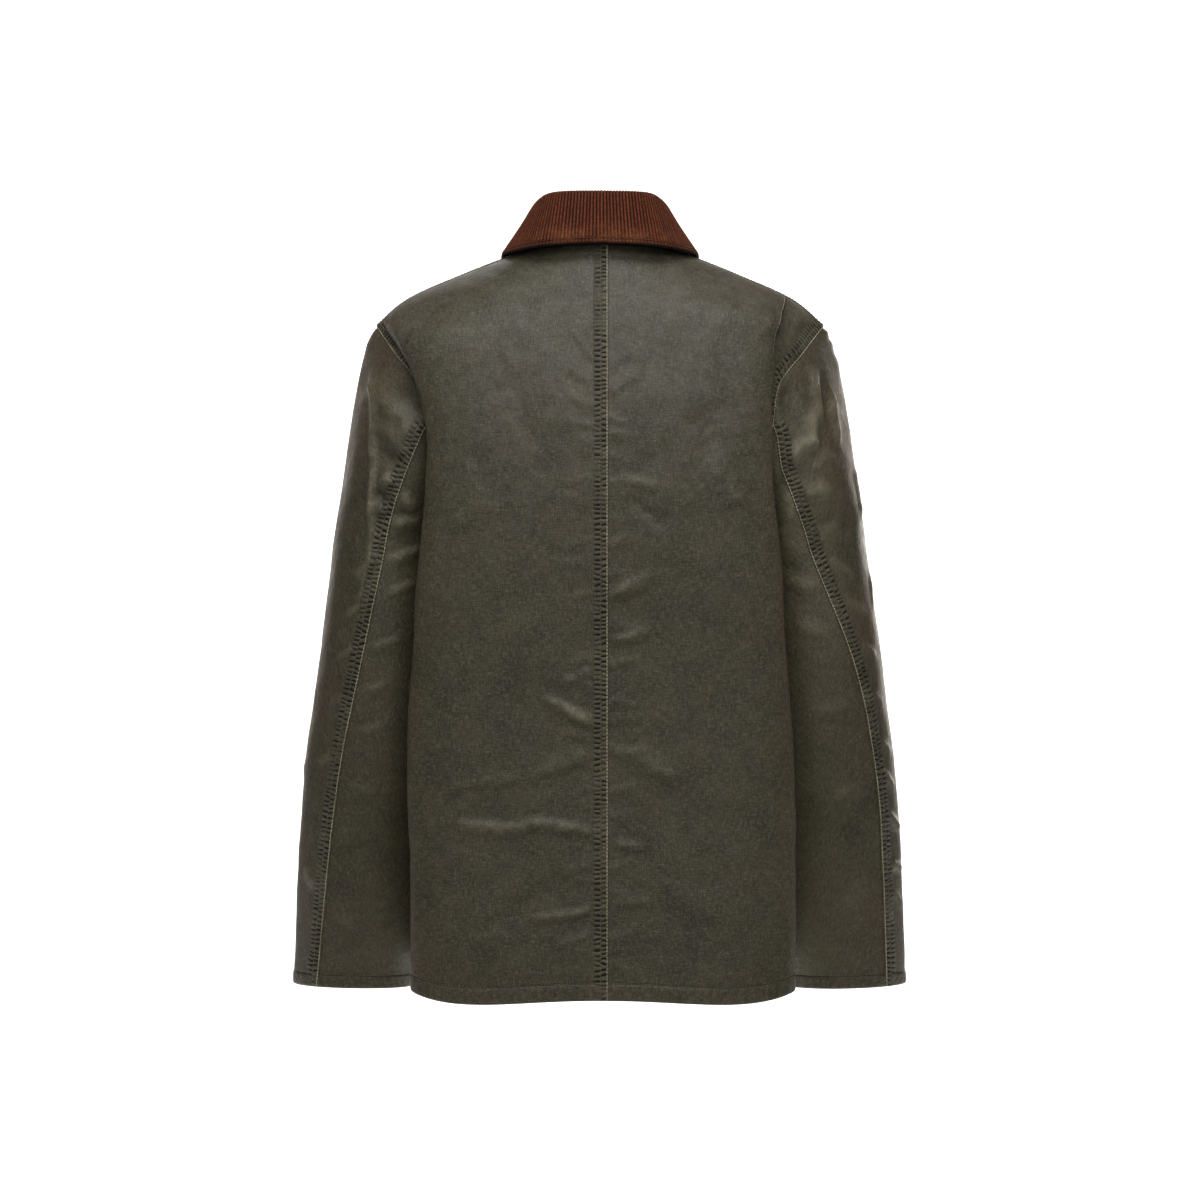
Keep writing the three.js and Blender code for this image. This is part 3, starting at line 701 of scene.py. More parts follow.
@dataclass
class SleeveForm(Form):
    """A sleeve: u runs 0 to 1 over its cap and on by rings to the cuff, v is the angle round it."""

    side: Side
    relief: Relief = field(default_factory=Relief)

    def __post_init__(self) -> None:
        """Sets the ranges, the steps and which way the surface faces."""
        self.u_range, self.v_range = (0.0, 1.0 + RINGS.last), (-400.0, 400.0)
        self.steps = (0.01, 0.5)
        self.flip = -self.side.sign

    def armhole(self, angle: Array) -> Array:
        """Reads the armhole on the wearer's left.

        Args:
            angle: places round it in degrees, from the shoulder point towards the back.

        Returns:
            Its points in millimetres.
        """
        turned = angle % 360
        behind = turned <= 180
        place = (1 - np.where(behind, turned, 360 - turned) / 180) * ARMHOLE_BACK.last
        back, front = ARMHOLE_BACK.at(place), ARMHOLE_FRONT.at(place)
        s = {k: np.where(behind, back[k], front[k]) for k in back}
        return stack(s["x"] + self.side.sign * s["slack"], s["y"], s["z"])

    def ring(self, at: Array, angle: Array) -> Array:
        """Reads the sleeve's level rings on the wearer's left.

        Args:
            at: places down the arm, counted in rings.
            angle: places round it in degrees.

        Returns:
            Points in millimetres.
        """
        r, turned = RINGS.at(at), np.radians(angle)
        c, s = np.cos(turned), np.sin(turned)
        x = (r["outer"] + r["inner"]) / 2 + c * (r["outer"] - r["inner"]) / 2
        tilt = smooth(at - (RINGS.last - 1)) * CUFF_TILT * (c - 1) / 2
        return stack(x, r["mid"] + s * r["deep"] / 2, r["z"] + tilt)

    def smooth_points(self, u: Array, v: Array) -> Array:
        """Reads the sleeve: the cap goes from the armhole into the first ring.

        Args:
            u: places along it.
            v: places across it, of the same shape.

        Returns:
            Its points in metres.
        """
        u, v = np.broadcast_arrays(np.asarray(u, float), np.asarray(v, float))
        start, first = self.armhole(v), self.ring(0 * u, v)
        turned = np.radians(v)
        leave = unit(stack(0.5 + 0.48 * np.cos(turned), 0.12 * np.sin(turned), -0.57 + 0 * turned))
        span = np.linalg.norm(start - first, axis=-1)
        leave = leave * np.minimum(CAP_REACH, 0.5 * span + CAP_LEAST)[..., None]
        down = unit(self.ring(0 * u + 0.02, v) - first) * np.minimum(CAP_SETTLE, 0.95 * span)[..., None]
        t = np.clip(u, 0, 1)[..., None]
        t2, t3 = t * t, t * t * t
        cap = start * (2 * t3 - 3 * t2 + 1) + leave * (t3 - 2 * t2 + t)
        cap = cap + first * (3 * t2 - 2 * t3) + down * (t3 - t2)
        points = np.where((u >= 1)[..., None], self.ring(np.maximum(u - 1, 0), v), cap)
        return points * np.array([self.side.sign, 1, 1]) * MM

    def seams(self, u: Array) -> tuple[Array, Array]:
        """Finds the sleeve's two seams.

        Args:
            u: places along the sleeve.

        Returns:
            The angles of the back seam and of the front seam there.
        """
        ring = RINGS.at(np.maximum(u - 1, 0))
        back = ring["back_left" if self.side is Side.LEFT else "back_right"]
        t = np.minimum(u, 1)
        start, end = SEAM_AT_ARMHOLE["back"], SEAM_AT_ARMHOLE["front"]
        swing = SEAM_SWING[self.side.word] * smooth(u / 0.35) * smooth((2.4 - u) / 2.1)
        return start + (back - start) * t + swing, end + (ring["front"] - end) * t

    def opened(self, u: Array, v: Array, points: Array) -> Array:
        """The angle from the outer point, which is about as many millimetres round the arm."""
        return (np.asarray(v, float) + 180) % 360 - 180 + 0 * points[..., 0]

    def calm(self, u: Array, v: Array) -> Array:
        """The relief dies away at the armhole."""
        return smooth(np.asarray(u, float) / 0.16)


@dataclass
class CollarForm(Form):
    """The collar's middle surface: u runs -1 to 1 from right to left front, v from neckline to free edge."""

    relief: Relief = field(default_factory=lambda: Relief(swell=0.35, crinkle=0.0, seed=5))
    samples: int = 22
    half_round: float = 210

    def __post_init__(self) -> None:
        """Makes the two halves of the body that the collar stands on."""
        self.u_range, self.v_range, self.steps = (-1.0, 1.0), (0.0, 1.0), (0.02, 0.02)
        self.flip = -1
        self.back = HalfBody(Side.LEFT, True)
        self.front = HalfBody(Side.LEFT, False)

    def sections(self, u: Array) -> Array:
        """Works out sections from the neckline over the crest to the free edge.

        Args:
            u: their stations.

        Returns:
            Points in metres by station and along the section.
        """
        at = np.abs(u) * COLLAR.last
        s = COLLAR.at(at)
        crest = stack(s["crest_x"], s["crest_y"], s["crest_z"])
        edge = stack(s["edge_x"], s["edge_y"], s["edge_z"])
        neck = np.full_like(at, float(NECK))
        behind = self.back.smooth_points(neck, np.clip(s["round"], 0, 2)) / MM
        ahead = self.front.smooth_points(neck, np.clip(4 - s["round"], 0, 2)) / MM
        base = np.where((s["round"] <= 2)[..., None], behind, ahead)
        base = base - unit(base * np.array([1, 1, 0])) * STAND_INSIDE - np.array([0, 0, STAND_DEEP])
        outward = edge - base
        outward[..., 2] = 0
        outward = unit(outward)
        stand, fall = crest - outward * COLLAR_ROLL, crest + outward * COLLAR_ROLL
        stand[..., 2] -= COLLAR_ROLL
        fall[..., 2] -= COLLAR_ROLL
        k = COLLAR_ROLL * 1.25
        t = np.linspace(0, 1, self.samples)
        first, last = stand + unit(stand - base) * k, fall + unit(fall - edge) * k
        roll = [cubic(stand, first, last, fall, np.full(at.shape, x)) for x in t]
        line = np.stack([base, *roll, edge], axis=-2) * MM
        line[..., 0] *= np.where(u < 0, -1, 1)[..., None]
        return line

    def smooth_points(self, u: Array, v: Array) -> Array:
        """Reads the collar, v being the share of the section's length.

        Args:
            u: places along it.
            v: places across it, of the same shape.

        Returns:
            Its points in metres.
        """
        u, v = np.broadcast_arrays(np.asarray(u, float), np.asarray(v, float))
        stations, which = np.unique(u, return_inverse=True)
        lines = self.sections(stations)
        steps = np.linalg.norm(np.diff(lines, axis=1), axis=-1)
        lengths = np.hstack([np.zeros((len(stations), 1)), np.cumsum(steps, axis=1)])
        lengths = lengths / lengths[:, -1:]
        points = np.empty((*u.shape, 3))
        which = which.reshape(u.shape)
        for k in range(len(stations)):
            here = which == k
            read = [np.interp(v[here], lengths[k], lines[k, :, axis]) for axis in range(3)]
            points[here] = np.stack(read, axis=-1)
        return points

    def opened(self, u: Array, v: Array, points: Array) -> Array:
        """The station as millimetres round the neck."""
        return np.asarray(u, float) * self.half_round + 0 * points[..., 0]


# ------------------------------------------------------------------ meshes
def quads(rows: int, columns: int, wrap_rows: bool = False, wrap_columns: bool = False) -> Array:
    """Joins a grid of vertices that are numbered row by row.

    Args:
        rows: how many rows there are.
        columns: how many columns.
        wrap_rows: whether the last row joins the first.
        wrap_columns: whether the last column joins the first.

    Returns:
        The faces as the numbers of their four corners.
    """
    i = np.arange(rows if wrap_rows else rows - 1)[:, None]
    j = np.arange(columns if wrap_columns else columns - 1)[None, :]
    up, over = (i + 1) % rows, (j + 1) % columns
    corners = [i * columns + j, i * columns + over, up * columns + over, up * columns + j]
    return np.stack([c + 0 * (i + j) for c in corners], axis=-1).reshape(-1, 4)


def signed_volume(vertices: Array, faces: Sequence[Array]) -> float:
    """The volume that the faces enclose, negative where they face inwards.

    Args:
        vertices: the corners.
        faces: faces as the numbers of their corners, an array for each number of sides.

    Returns:
        The volume in cubic metres.
    """
    total = 0.0
    for group in faces:
        for b, c in zip(group.T[1:], group.T[2:]):
            total += float(np.sum(np.cross(vertices[group[:, 0]], vertices[b]) * vertices[c]))
    return total / 6


def piece(
    name: str,
    vertices: Array,
    faces: Sequence[Array],
    uv: Array | None,
    finish: Material,
    sharp: float = 62,
    **marks: Array,
) -> Object:
    """Makes a closed piece with its faces outwards.

    Args:
        name: the piece's name.
        vertices: its vertices in metres.
        faces: its faces, an array for each number of sides.
        uv: a place on the cloth in metres for each vertex, if its finish reads that.
        finish: its material.
        sharp: the angle in degrees past which an edge is drawn as sharp.
        marks: named values for each vertex, which the finish reads.

    Returns:
        The object, at the origin.
    """
    if signed_volume(vertices, faces) < 0:
        faces = [group[:, ::-1] for group in faces]
    corners = np.concatenate([group.ravel() for group in faces])
    sides = np.concatenate([np.full(len(group), group.shape[1]) for group in faces])
    mesh = bpy.data.meshes.new(name)
    mesh.vertices.add(len(vertices))
    mesh.vertices.foreach_set("co", np.ascontiguousarray(vertices, dtype=np.float32).ravel())
    mesh.loops.add(len(corners))
    mesh.loops.foreach_set("vertex_index", corners.astype(np.int32))
    mesh.polygons.add(len(sides))
    mesh.polygons.foreach_set("loop_start", (np.cumsum(sides) - sides).astype(np.int32))
    mesh.update(calc_edges=True)
    if uv is not None:
        layer = mesh.uv_layers.new(name="cloth")
        layer.data.foreach_set("uv", np.ascontiguousarray(uv[corners], dtype=np.float32).ravel())
    for mark, values in marks.items():
        attribute = mesh.attributes.new(mark, "FLOAT", "POINT")
        attribute.data.foreach_set("value", np.ascontiguousarray(values, dtype=np.float32).ravel())
    mesh.polygons.foreach_set("use_smooth", np.ones(len(sides), dtype=bool))
    mesh.set_sharp_from_angle(angle=math.radians(sharp))
    mesh.materials.append(finish)
    made = bpy.data.objects.new(name, mesh)
    bpy.context.scene.collection.objects.link(made)
    return made


def lengths(grid: Array, axis: int) -> Array:
    """The distance over a grid of points from its first row or column.

    Args:
        grid: the points.
        axis: which way to measure.

    Returns:
        A distance for each point.
    """
    steps = np.linalg.norm(np.diff(grid, axis=axis), axis=-1)
    start = np.zeros_like(np.take(steps, [0], axis=axis))
    return np.concatenate([start, np.cumsum(steps, axis=axis)], axis=axis)


def every_other(count: int) -> Array:
    """Every other place of a row, and its last."""
    return np.append(np.arange(0, count - 1, 2), count - 1)


def underside(outer: Array, normals: Array) -> Array:
    """Finds the inner face, deep enough for its coarser points to clear every crease of the outer one.

    Args:
        outer: the points of the outer face.
        normals: the outward directions there.

    Returns:
        The points of the inner face.
    """
    rows, columns = outer.shape[:2]
    padded = np.pad(outer, ((1, 1), (1, 1), (0, 0)), mode="edge")
    depth = np.zeros((rows, columns))
    for i in range(3):
        for j in range(3):
            near = padded[i : i + rows, j : j + columns]
            depth = np.maximum(depth, np.sum((outer - near) * normals, axis=-1))
    return outer - normals * (CLOTH + depth)[..., None]


def wall(name: str, outer: Array, inner: Array, finish: Material, **marks: Array) -> Object:
    """Makes a sheet with its thickness from two grids of points, closed round its edge.

    Args:
        name: the piece's name.
        outer: the points of the face that shows.
        inner: the points of the other face, which is made from every other row and column of them.
        finish: its material.
        marks: named values of the shape of a grid.

    Returns:
        The object.
    """
    rows, columns = outer.shape[:2]
    u, v = every_other(rows), every_other(columns)
    ids = np.arange(rows * columns).reshape(rows, columns)
    low_ids = np.arange(len(u) * len(v)).reshape(len(u), len(v)) + ids.size
    edges = [
        (ids[0], low_ids[0], v),
        (ids[:, -1], low_ids[:, -1], u),
        (ids[-1, ::-1], low_ids[-1, ::-1], columns - 1 - v[::-1]),
        (ids[::-1, 0], low_ids[::-1, 0], rows - 1 - u[::-1]),
    ]
    rim = [
        [*high[a : b + 1][::-1], low[k], low[k + 1]]
        for high, low, places in edges
        for k, (a, b) in enumerate(zip(places, places[1:]))
    ]
    faces = [quads(rows, columns), quads(len(u), len(v))[:, ::-1] + ids.size]
    faces += [np.array([f for f in rim if len(f) == n], dtype=int).reshape(-1, n) for n in (4, 5)]

    def both(values: Array, under: Array) -> Array:
        """Values of the outer face, and after them those of the inner one."""
        return np.concatenate([values.reshape(ids.size, -1), under[np.ix_(u, v)].reshape(low_ids.size, -1)])

    uv = np.stack([lengths(outer, 1), lengths(outer, 0)], axis=-1)
    wide = {mark: np.broadcast_to(value, ids.shape) for mark, value in marks.items()}
    flat = {mark: both(value, value) for mark, value in wide.items()}
    return piece(name, both(outer, inner), faces, both(uv, uv), finish, **flat)


def tube(name: str, rings: Array, finish: Material, closed: bool, **marks: Array) -> Object:
    """Makes a band from rings of points along it, capped at its ends unless it is closed on itself.

    Args:
        name: the piece's name.
        rings: points by ring and by place round the ring, an even number of them.
        finish: its material.
        closed: whether the last ring joins the first.
        marks: named values of the shape of the rings.

    Returns:
        The object.
    """
    count, round_it = rings.shape[:2]
    faces = quads(count, round_it, wrap_rows=closed, wrap_columns=True)
    if not closed:
        k = np.arange(round_it // 2 - 1)
        cap = np.stack([k, k + 1, round_it - 2 - k, round_it - 1 - k], axis=-1)
        faces = np.vstack([faces, cap[:, ::-1], cap + (count - 1) * round_it])
    uv = np.stack([lengths(rings, 1), lengths(rings, 0)], axis=-1).reshape(-1, 2)
    flat = {mark: np.broadcast_to(v, rings.shape[:2]).ravel() for mark, v in marks.items()}
    return piece(name, rings.reshape(-1, 3), [faces], uv, finish, **flat)


def softened(values: Array, passes: int, closed: bool) -> Array:
    """Evens out the rows of an array, its ends going on straight unless it is closed.

    Args:
        values: the rows.
        passes: how often.
        closed: whether the last row joins the first.

    Returns:
        The rows, evened out.
    """
    for _ in range(passes):
        if closed:
            before, after = np.roll(values, 1, axis=0), np.roll(values, -1, axis=0)
        else:
            before = np.concatenate([2 * values[:1] - values[1:2], values[:-1]])
            after = np.concatenate([values[1:], 2 * values[-1:] - values[-2:-1]])
        values = 0.25 * before + 0.5 * values + 0.25 * after
    return values


def evenly(line: Array, step: float, *others: Array) -> tuple[Array, ...]:
    """Divides a line evenly.

    Args:
        line: its points.
        step: about how far apart its new points are.
        others: other values of the line.

    Returns:
        For each new point its distance along, the point, and the other values there.
    """
    far = lengths(line[:, None], 0)[:, 0]
    count = max(int(round(far[-1] / step)), 2)
    places = np.linspace(0, far[-1], count + 1)
    read = ([np.interp(places, far, column) for column in values.T] for values in (line, *others))
    return (places, *(np.stack(columns, axis=-1) for columns in read))


class ClothSurface:
    """The outer faces of all the panels together, on which seams and hems are laid."""

    stride = 2.4 * MM

    def __init__(self) -> None:
        """Starts with no panels."""
        self.vertices: list[Array] = []
        self.faces: list[Array] = []
        self.count = 0
        self.tree: BVHTree | None = None

    def add(self, grid: Array) -> None:
        """Adds a panel's outer grid.

        Args:
            grid: its points.
        """
        self.vertices.append(grid.reshape(-1, 3))
        self.faces.append(quads(*grid.shape[:2]) + self.count)
        self.count += grid.shape[0] * grid.shape[1]

    def close(self) -> None:
        """Makes the tree that finds the nearest places."""
        vertices, faces = np.vstack(self.vertices), np.vstack(self.faces)
        self.tree = BVHTree.FromPolygons(vertices.tolist(), faces.tolist())

    def march(self, starts: Array, headings: Array, distances: Sequence[float]) -> Array:
        """Walks over the cloth from each start.

        Args:
            starts: points on the cloth.
            headings: directions to walk in, about level with the cloth.
            distances: how far to go for each point that is wanted, in rising order, in metres.

        Returns:
            Points by start and by distance.
        """
        found = np.empty((len(starts), len(distances), 3))
        for i, (start, heading) in enumerate(zip(starts, headings)):
            place, ahead, gone = Vector(start), Vector(heading).normalized(), 0.0
            for j, distance in enumerate(distances):
                while distance - gone > 1e-9:
                    step = min(self.stride, distance - gone)
                    near, normal, _, _ = self.tree.find_nearest(place + ahead * step)
                    moved = near - place
                    place, gone = near, gone + step
                    if moved.length > step * 0.3:
                        ahead = (ahead * 0.5 + moved.normalized() * 0.5).normalized()
                    ahead = (ahead - normal * ahead.dot(normal)).normalized()
                found[i, j] = place
        return found


def onward(points: Array, closed: bool) -> Array:
    """Directions from each row of points to the next one, as long as they come."""
    return np.roll(points, -1, axis=0) - np.roll(points, 1, axis=0) if closed else np.gradient(points, axis=0)


def grid_normals(grid: Array, like: Array, closed: bool) -> Array:
    """Normals of a grid of points.

    Args:
        grid: the points.
        like: directions on whose side the normals are wanted.
        closed: whether the last row joins the first.

    Returns:
        The normals.
    """
    normals = unit(np.cross(np.gradient(grid, axis=1), onward(grid, closed)))
    return normals * np.where(np.sum(normals * like, axis=-1, keepdims=True) < 0, -1, 1)


# ------------------------------------------------------------------ sewing
@dataclass(frozen=True)
class Pucker:
    """The ripples that a row of stitches draws into the cloth beside it."""

    pitch: float = 4.7
    depth: float = 0.5
    slant: float = 0.0
    seed: int = 11

    columns = (4.2, 10.6)
    parting = 6.5

    def at(self, along: Array, off: Array) -> Array:
        """Reads the ripples: short narrow valleys in two columns, one on each side of the second stitch row.

        Args:
            along: places along the seam in millimetres.
            off: distances from its folded edge in millimetres.

        Returns:
            1 in the depth of a valley and 0 between the valleys.
        """
        noise = Lattice(self.seed)
        valleys = []
        for k, middle in enumerate(self.columns):
            place = stack(along, 0 * along + 31.0 * k, 0 * along) * MM
            shift = 2.9 * noise.at(place, 0.019) + 1.7 * noise.at(place + 4.0, 0.0065)
            lean = self.slant + 0.36 * noise.at(place + 6.0, 0.007)
            turn = 2 * np.pi * (along + (off - middle) * lean) / self.pitch + shift
            strength = 0.8 + 0.6 * noise.at(place + 9.0, 0.007) + 0.3 * noise.at(place + 2.0, 0.05)
            valleys.append(np.maximum(np.cos(turn), 0) ** 1.6 * np.clip(strength, 0.15, 1.2))
        outer = smooth((off - self.parting) / 1.2)
        return valleys[0] * (1 - outer) + valleys[1] * outer


@dataclass
class Laid:
    """A band as it is laid on the cloth: where it runs, and the surface that its stitches sink into."""

    off: Array
    surface: Array
    normals: Array
    closed: bool

    def row(self, off: float, above: float) -> tuple[Array, Array]:
        """Reads a line along the band.

        Args:
            off: its distance from the band's edge in millimetres.
            above: how far it is raised, in metres.

        Returns:
            Its points and the cloth's normals there.
        """
        j = int(np.clip(np.searchsorted(self.off, off), 1, len(self.off) - 1))
        t = (off - self.off[j - 1]) / (self.off[j] - self.off[j - 1])
        line = self.surface[:, j - 1] * (1 - t) + self.surface[:, j] * t
        normal = unit(self.normals[:, j - 1] * (1 - t) + self.normals[:, j] * t)
        line, normal = softened(line, 2, self.closed), softened(normal, 3, self.closed)
        if self.closed:
            line, normal = np.vstack([line, line[:1]]), np.vstack([normal, normal[:1]])
        return line + normal * above, normal


@dataclass
class Topstitch:
    """A row of machine stitches: one short thread after another, its ends drawn into the cloth."""

    pitch: float = 3.4 * MM
    length: float = 3.2 * MM
    thick: float = 0.9 * MM
    sides: int = 5

    # the rings of one stitch: place as a share of its length, girth and sinking as shares of its thickness
    places = np.array([-0.5, -0.34, 0.34, 0.5])
    girth = np.array([0.45, 1.0, 1.0, 0.45])
    sunk = np.array([-0.55, 0.0, 0.0, -0.55])

    def rings(self, line: Array, normals: Array) -> Array:
        """Places the stitches on a line.

        Args:
            line: its points.
            normals: the cloth's normals there.

        Returns:
            Points by stitch, by ring along it and round the ring.
        """
        _, points, raised = evenly(line, self.pitch, normals)
        ahead = unit(np.diff(points, axis=0))
        middle = (points[1:] + points[:-1]) / 2
        side = unit(np.cross(ahead, unit(raised[1:] + raised[:-1])))
        up = np.cross(side, ahead)
        turns = np.arange(self.sides) / self.sides * 2 * np.pi + 0.3
        centre = middle[:, None] + ahead[:, None] * (self.places * self.length)[None, :, None]
        centre = centre + up[:, None] * (self.sunk * self.thick)[None, :, None]
        across = side[:, None, None] * np.cos(turns)[None, None, :, None]
        over = up[:, None, None] * np.sin(turns)[None, None, :, None] * 0.8
        return centre[:, :, None] + (across + over) * (self.girth * self.thick / 2)[None, :, None, None]

    def sew(self, name: str, lines: Sequence[tuple[Array, Array]], finish: Material) -> Object:
        """Makes one piece of all the stitches on some lines.

        Args:
            name: the piece's name.
            lines: points and normals of each line.
            finish: its material.

        Returns:
            The object.
        """
        rings = np.concatenate([self.rings(line, normals) for line, normals in lines])
        count, sections, sides = rings.shape[:3]
        starts = np.arange(count)[:, None, None] * sections * sides
        caps = np.array([range(sides)[::-1], range((sections - 1) * sides, sections * sides)])
        faces = [starts + quads(sections, sides, wrap_columns=True), starts + caps]
        faces = [group.reshape(-1, group.shape[-1]) for group in faces]
        return piece(name, rings.reshape(-1, 3), faces, None, finish, sharp=180)


@dataclass
class Band:
    """A strip that is laid on the cloth along a line, over which it reaches towards some other place."""

    name: str
    line: Array
    normals: Array
    towards: Array
    rise: float = 1.0
    pucker: Pucker = Pucker()
    closed: bool = False

    def course(self, step: float, even: int, level: int) -> tuple[Array, Array, Array, Array]:
        """Finds places along the line.

        Args:
            step: how far apart they are.
            even: how often the line is evened out.
            level: how often its normals are.

        Returns:
            For each place the distance along in metres, the point, its normal and the way across.
        """
        given = [self.line, self.normals, self.towards]
        if self.closed:
            given = [np.vstack([rows, rows[:1]]) for rows in given]
        far, points, up, lead = evenly(given[0], step, *given[1:])
        if self.closed:
            far, points, up, lead = far[:-1], points[:-1], up[:-1], lead[:-1]
        points, up = softened(points, even, self.closed), unit(softened(up, level, self.closed))
        across = unit(np.cross(up, unit(onward(points, self.closed))))
        return far, points, up, across * np.where(np.sum(across * lead, axis=1, keepdims=True) < 0, -1, 1)


@dataclass
class FelledSeam(Band):
    """A felled seam: the folded edge of one piece lies over the other and is stitched down in two rows."""

    edge: float = -1.5
    stitched: bool = True
    step: float = 0.9 * MM

    # distances from the folded edge, and the height of the band over the cloth there
    offs = np.array([0, 0.06, 0.35, 0.8, 1.4, 2.0, 3.0, 4.2, 5.4, 6.5, 7.3, 8.2, 9.4, 10.8, 12.4, 14.0, 15.4])
    base = [-0.7, 0.3, 0.8, 1.0, 0.82, 1.0, 1.0, 1.0, 0.97, 0.9, 0.62, 0.72, 0.62, 0.46, 0.28, 0.06, -0.3]
    rows = (1.4, 7.3)
    width = 15.6
    full_depth = 0.5
    thick = 1.7 * MM

    def lay(self, cloth: ClothSurface) -> tuple[Laid, Array]:
        """Lays the band on the cloth.

        Args:
            cloth: the cloth.

        Returns:
            Its upper surface, and how much paler it is painted, as worn wax and painted highlight, and where
            negative how much darker, as painted shade.
        """
        far, points, up, across = self.course(self.step, 6, 8)
        place = (self.edge + self.offs) * MM
        before = cloth.march(points, -across, -place[place < 0][::-1])[:, ::-1]
        grid = np.concatenate([before, cloth.march(points, across, place[place >= 0])], axis=1)
        grid = softened(grid, 5, self.closed)
        normal = unit(softened(grid_normals(grid, up[:, None], self.closed), 4, self.closed))
        along, off = np.meshgrid(far / MM, self.offs, indexing="ij")
        valley = self.pucker.at(along, off)
        reach = smooth((off - 1.0) / 1.2) * smooth((self.width - off) / 5.0)
        reach = reach * (1 - 0.75 * np.exp(-(((off - self.rows[1]) / 0.8) ** 2)))
        lift = np.array(self.base) * self.rise + (0.35 - valley) * self.pucker.depth * 2 * reach
        lift = np.where((off > 0.3) & (off < 13), np.maximum(lift, 0.1), lift)
        # paler on the ridges between the puckers and along the folded edge, partly worn wax and partly
        # painted highlight; darker in the pucker valleys, as painted shade
        patch = np.clip(0.6 + 0.6 * Lattice(self.pucker.seed).at(points[:, None] + 0 * grid, 0.018), 0, 1)
        pale = 0.44 * patch * (1 - valley) + 0.25 * np.exp(-(((off - 0.5) / 0.6) ** 2))
        worn = pale * smooth((off + 0.2) / 0.6) * smooth((self.width - off) / 3.0) - 1.9 * valley * reach
        laid = Laid(self.offs, grid + normal * (lift * MM)[..., None], normal, self.closed)
        return laid, worn * min(self.pucker.depth / self.full_depth, 1)

    def make(self, cloth: ClothSurface, finish: Material) -> tuple[Object, Laid]:
        """Makes the band as a closed piece.

        Args:
            cloth: what it is laid on.
            finish: its material.

        Returns:
            The piece, and its upper surface for the stitching.
        """
        laid, worn = self.lay(cloth)
        back = [-2, len(self.offs) // 2, 2]
        under = laid.surface[:, back] - laid.normals[:, back] * self.thick
        rings = np.concatenate([laid.surface, under], axis=1)
        worn = np.concatenate([worn, worn[:, back]], axis=1)
        return tube(self.name, rings, finish, self.closed, worn=worn, tint=0.35 + 0 * worn), laid


@dataclass
class TurnedHem(Band):
    """An edge that is turned up twice inside and stitched down."""

    pucker: Pucker = Pucker(pitch=9.0, depth=0.16, slant=0.5, seed=17)
    depth: float = 15.6
    step: float = 1.7 * MM

    def sections(self) -> tuple[Array, Array, int]:
        """Works out the ring round the folded cloth.

        Returns:
            Its places up from the edge, its heights over the cloth, and how many of them lie outside.
        """
        d = self.depth
        outer = [(0.3, 0.55), (0.083 * d, 0.75), (0.2 * d, 0.82), (0.35 * d, 0.8), (0.52 * d, 0.8)]
        outer += [(0.68 * d, 0.8), (0.82 * d, 0.75), (d - 1.3, 0.6), (d - 0.5, 0.25), (d, -0.12)]
        outer += [(d + 0.5, 0.02), (d + 1.3, 0.0), (d + 2.8, -0.35)]
        inner = [(d + 0.6, -1.2), (d, -2.7), (0.7 * d, -3.0), (0.35 * d, -3.1), (1.2, -3.0)]
        inner += [(-0.4, -2.7), (-0.9, -1.9), (-0.95, -0.9), (-0.6, 0.0)]
        rings = np.array(outer + inner)
        return rings[:, 0], rings[:, 1], len(outer)

    def make(self, cloth: ClothSurface, finish: Material) -> tuple[Object, Laid]:
        """Makes the hem as a closed piece.

        Args:
            cloth: what it is laid on.
            finish: its material.

        Returns:
            The piece, and its outer surface for the stitching.
        """
        far, points, up, across = self.course(self.step, 0, 6)
        place, height, outside = self.sections()
        order = np.argsort(place)
        grid = np.empty((len(points), len(place), 3))
        marched = cloth.march(points, across, np.maximum(place[order], 1e-6) * MM)
        grid[:, order] = marched + across[:, None] * (np.minimum(place[order], 0) * MM)[None, :, None]
        grid = softened(grid, 4, self.closed)
        normal = grid_normals(grid[:, :outside], up[:, None], self.closed)
        normal = unit(softened(normal, 4, self.closed))
        nearest = np.array([int(np.argmin(np.abs(place[:outside] - p))) for p in place])
        along, off = np.meshgrid(far / MM, place, indexing="ij")
        valley = self.pucker.at(along, off)
        shown = np.arange(len(place)) < outside
        reach = smooth(off / 3.0) * smooth((self.depth - 0.6 - off) / 1.6) * shown
        lift = height * np.where(height > 0, self.rise, 1) + (0.4 - valley) * self.pucker.depth * 2 * reach
        rings = grid + normal[:, nearest] * (lift * MM)[..., None]
        # painted darker along the fold line of the stitching and in the pucker valleys, as painted shade; a
        # little paler over the turn-up and along the folded edge, as worn wax
        groove_shade = np.exp(-(((off - self.depth) / 0.6) ** 2))
        worn = (0.12 - 0.45 * valley) * reach - 1.6 * groove_shade + 0.35 * np.exp(-((off / 1.6) ** 2))
        made = tube(self.name, rings, finish, self.closed, worn=worn, tint=0.55 + 0 * worn)
        return made, Laid(place[:outside], rings[:, :outside], normal, self.closed)


# ------------------------------------------------------------------ finishes
def linear(colour: str) -> tuple[float, float, float, float]:
    """Turns an sRGB hex colour to linear values."""
    values = [int(colour[k : k + 2], 16) / 255 for k in (1, 3, 5)]
    return (*(v / 12.92 if v <= 0.04045 else ((v + 0.055) / 1.055) ** 2.4 for v in values), 1.0)


def node(tree: Tree, kind: str, inputs: dict | Sequence = (), **settings: object) -> bpy.types.Node:
    """Adds a node.

    Args:
        tree: where it goes.
        kind: its type, after the word ShaderNode.
        inputs: values and other nodes' outputs for its sockets, in order or by their names or numbers.
        settings: its own settings.

    Returns:
        The node.
    """
    made = tree.nodes.new(f"ShaderNode{kind}")
    for name, value in settings.items():
        setattr(made, name, value)
    for key, value in inputs.items() if isinstance(inputs, dict) else enumerate(inputs):
        if isinstance(value, Socket):
            tree.links.new(value, made.inputs[key])
        else:
            made.inputs[key].default_value = value
    return made


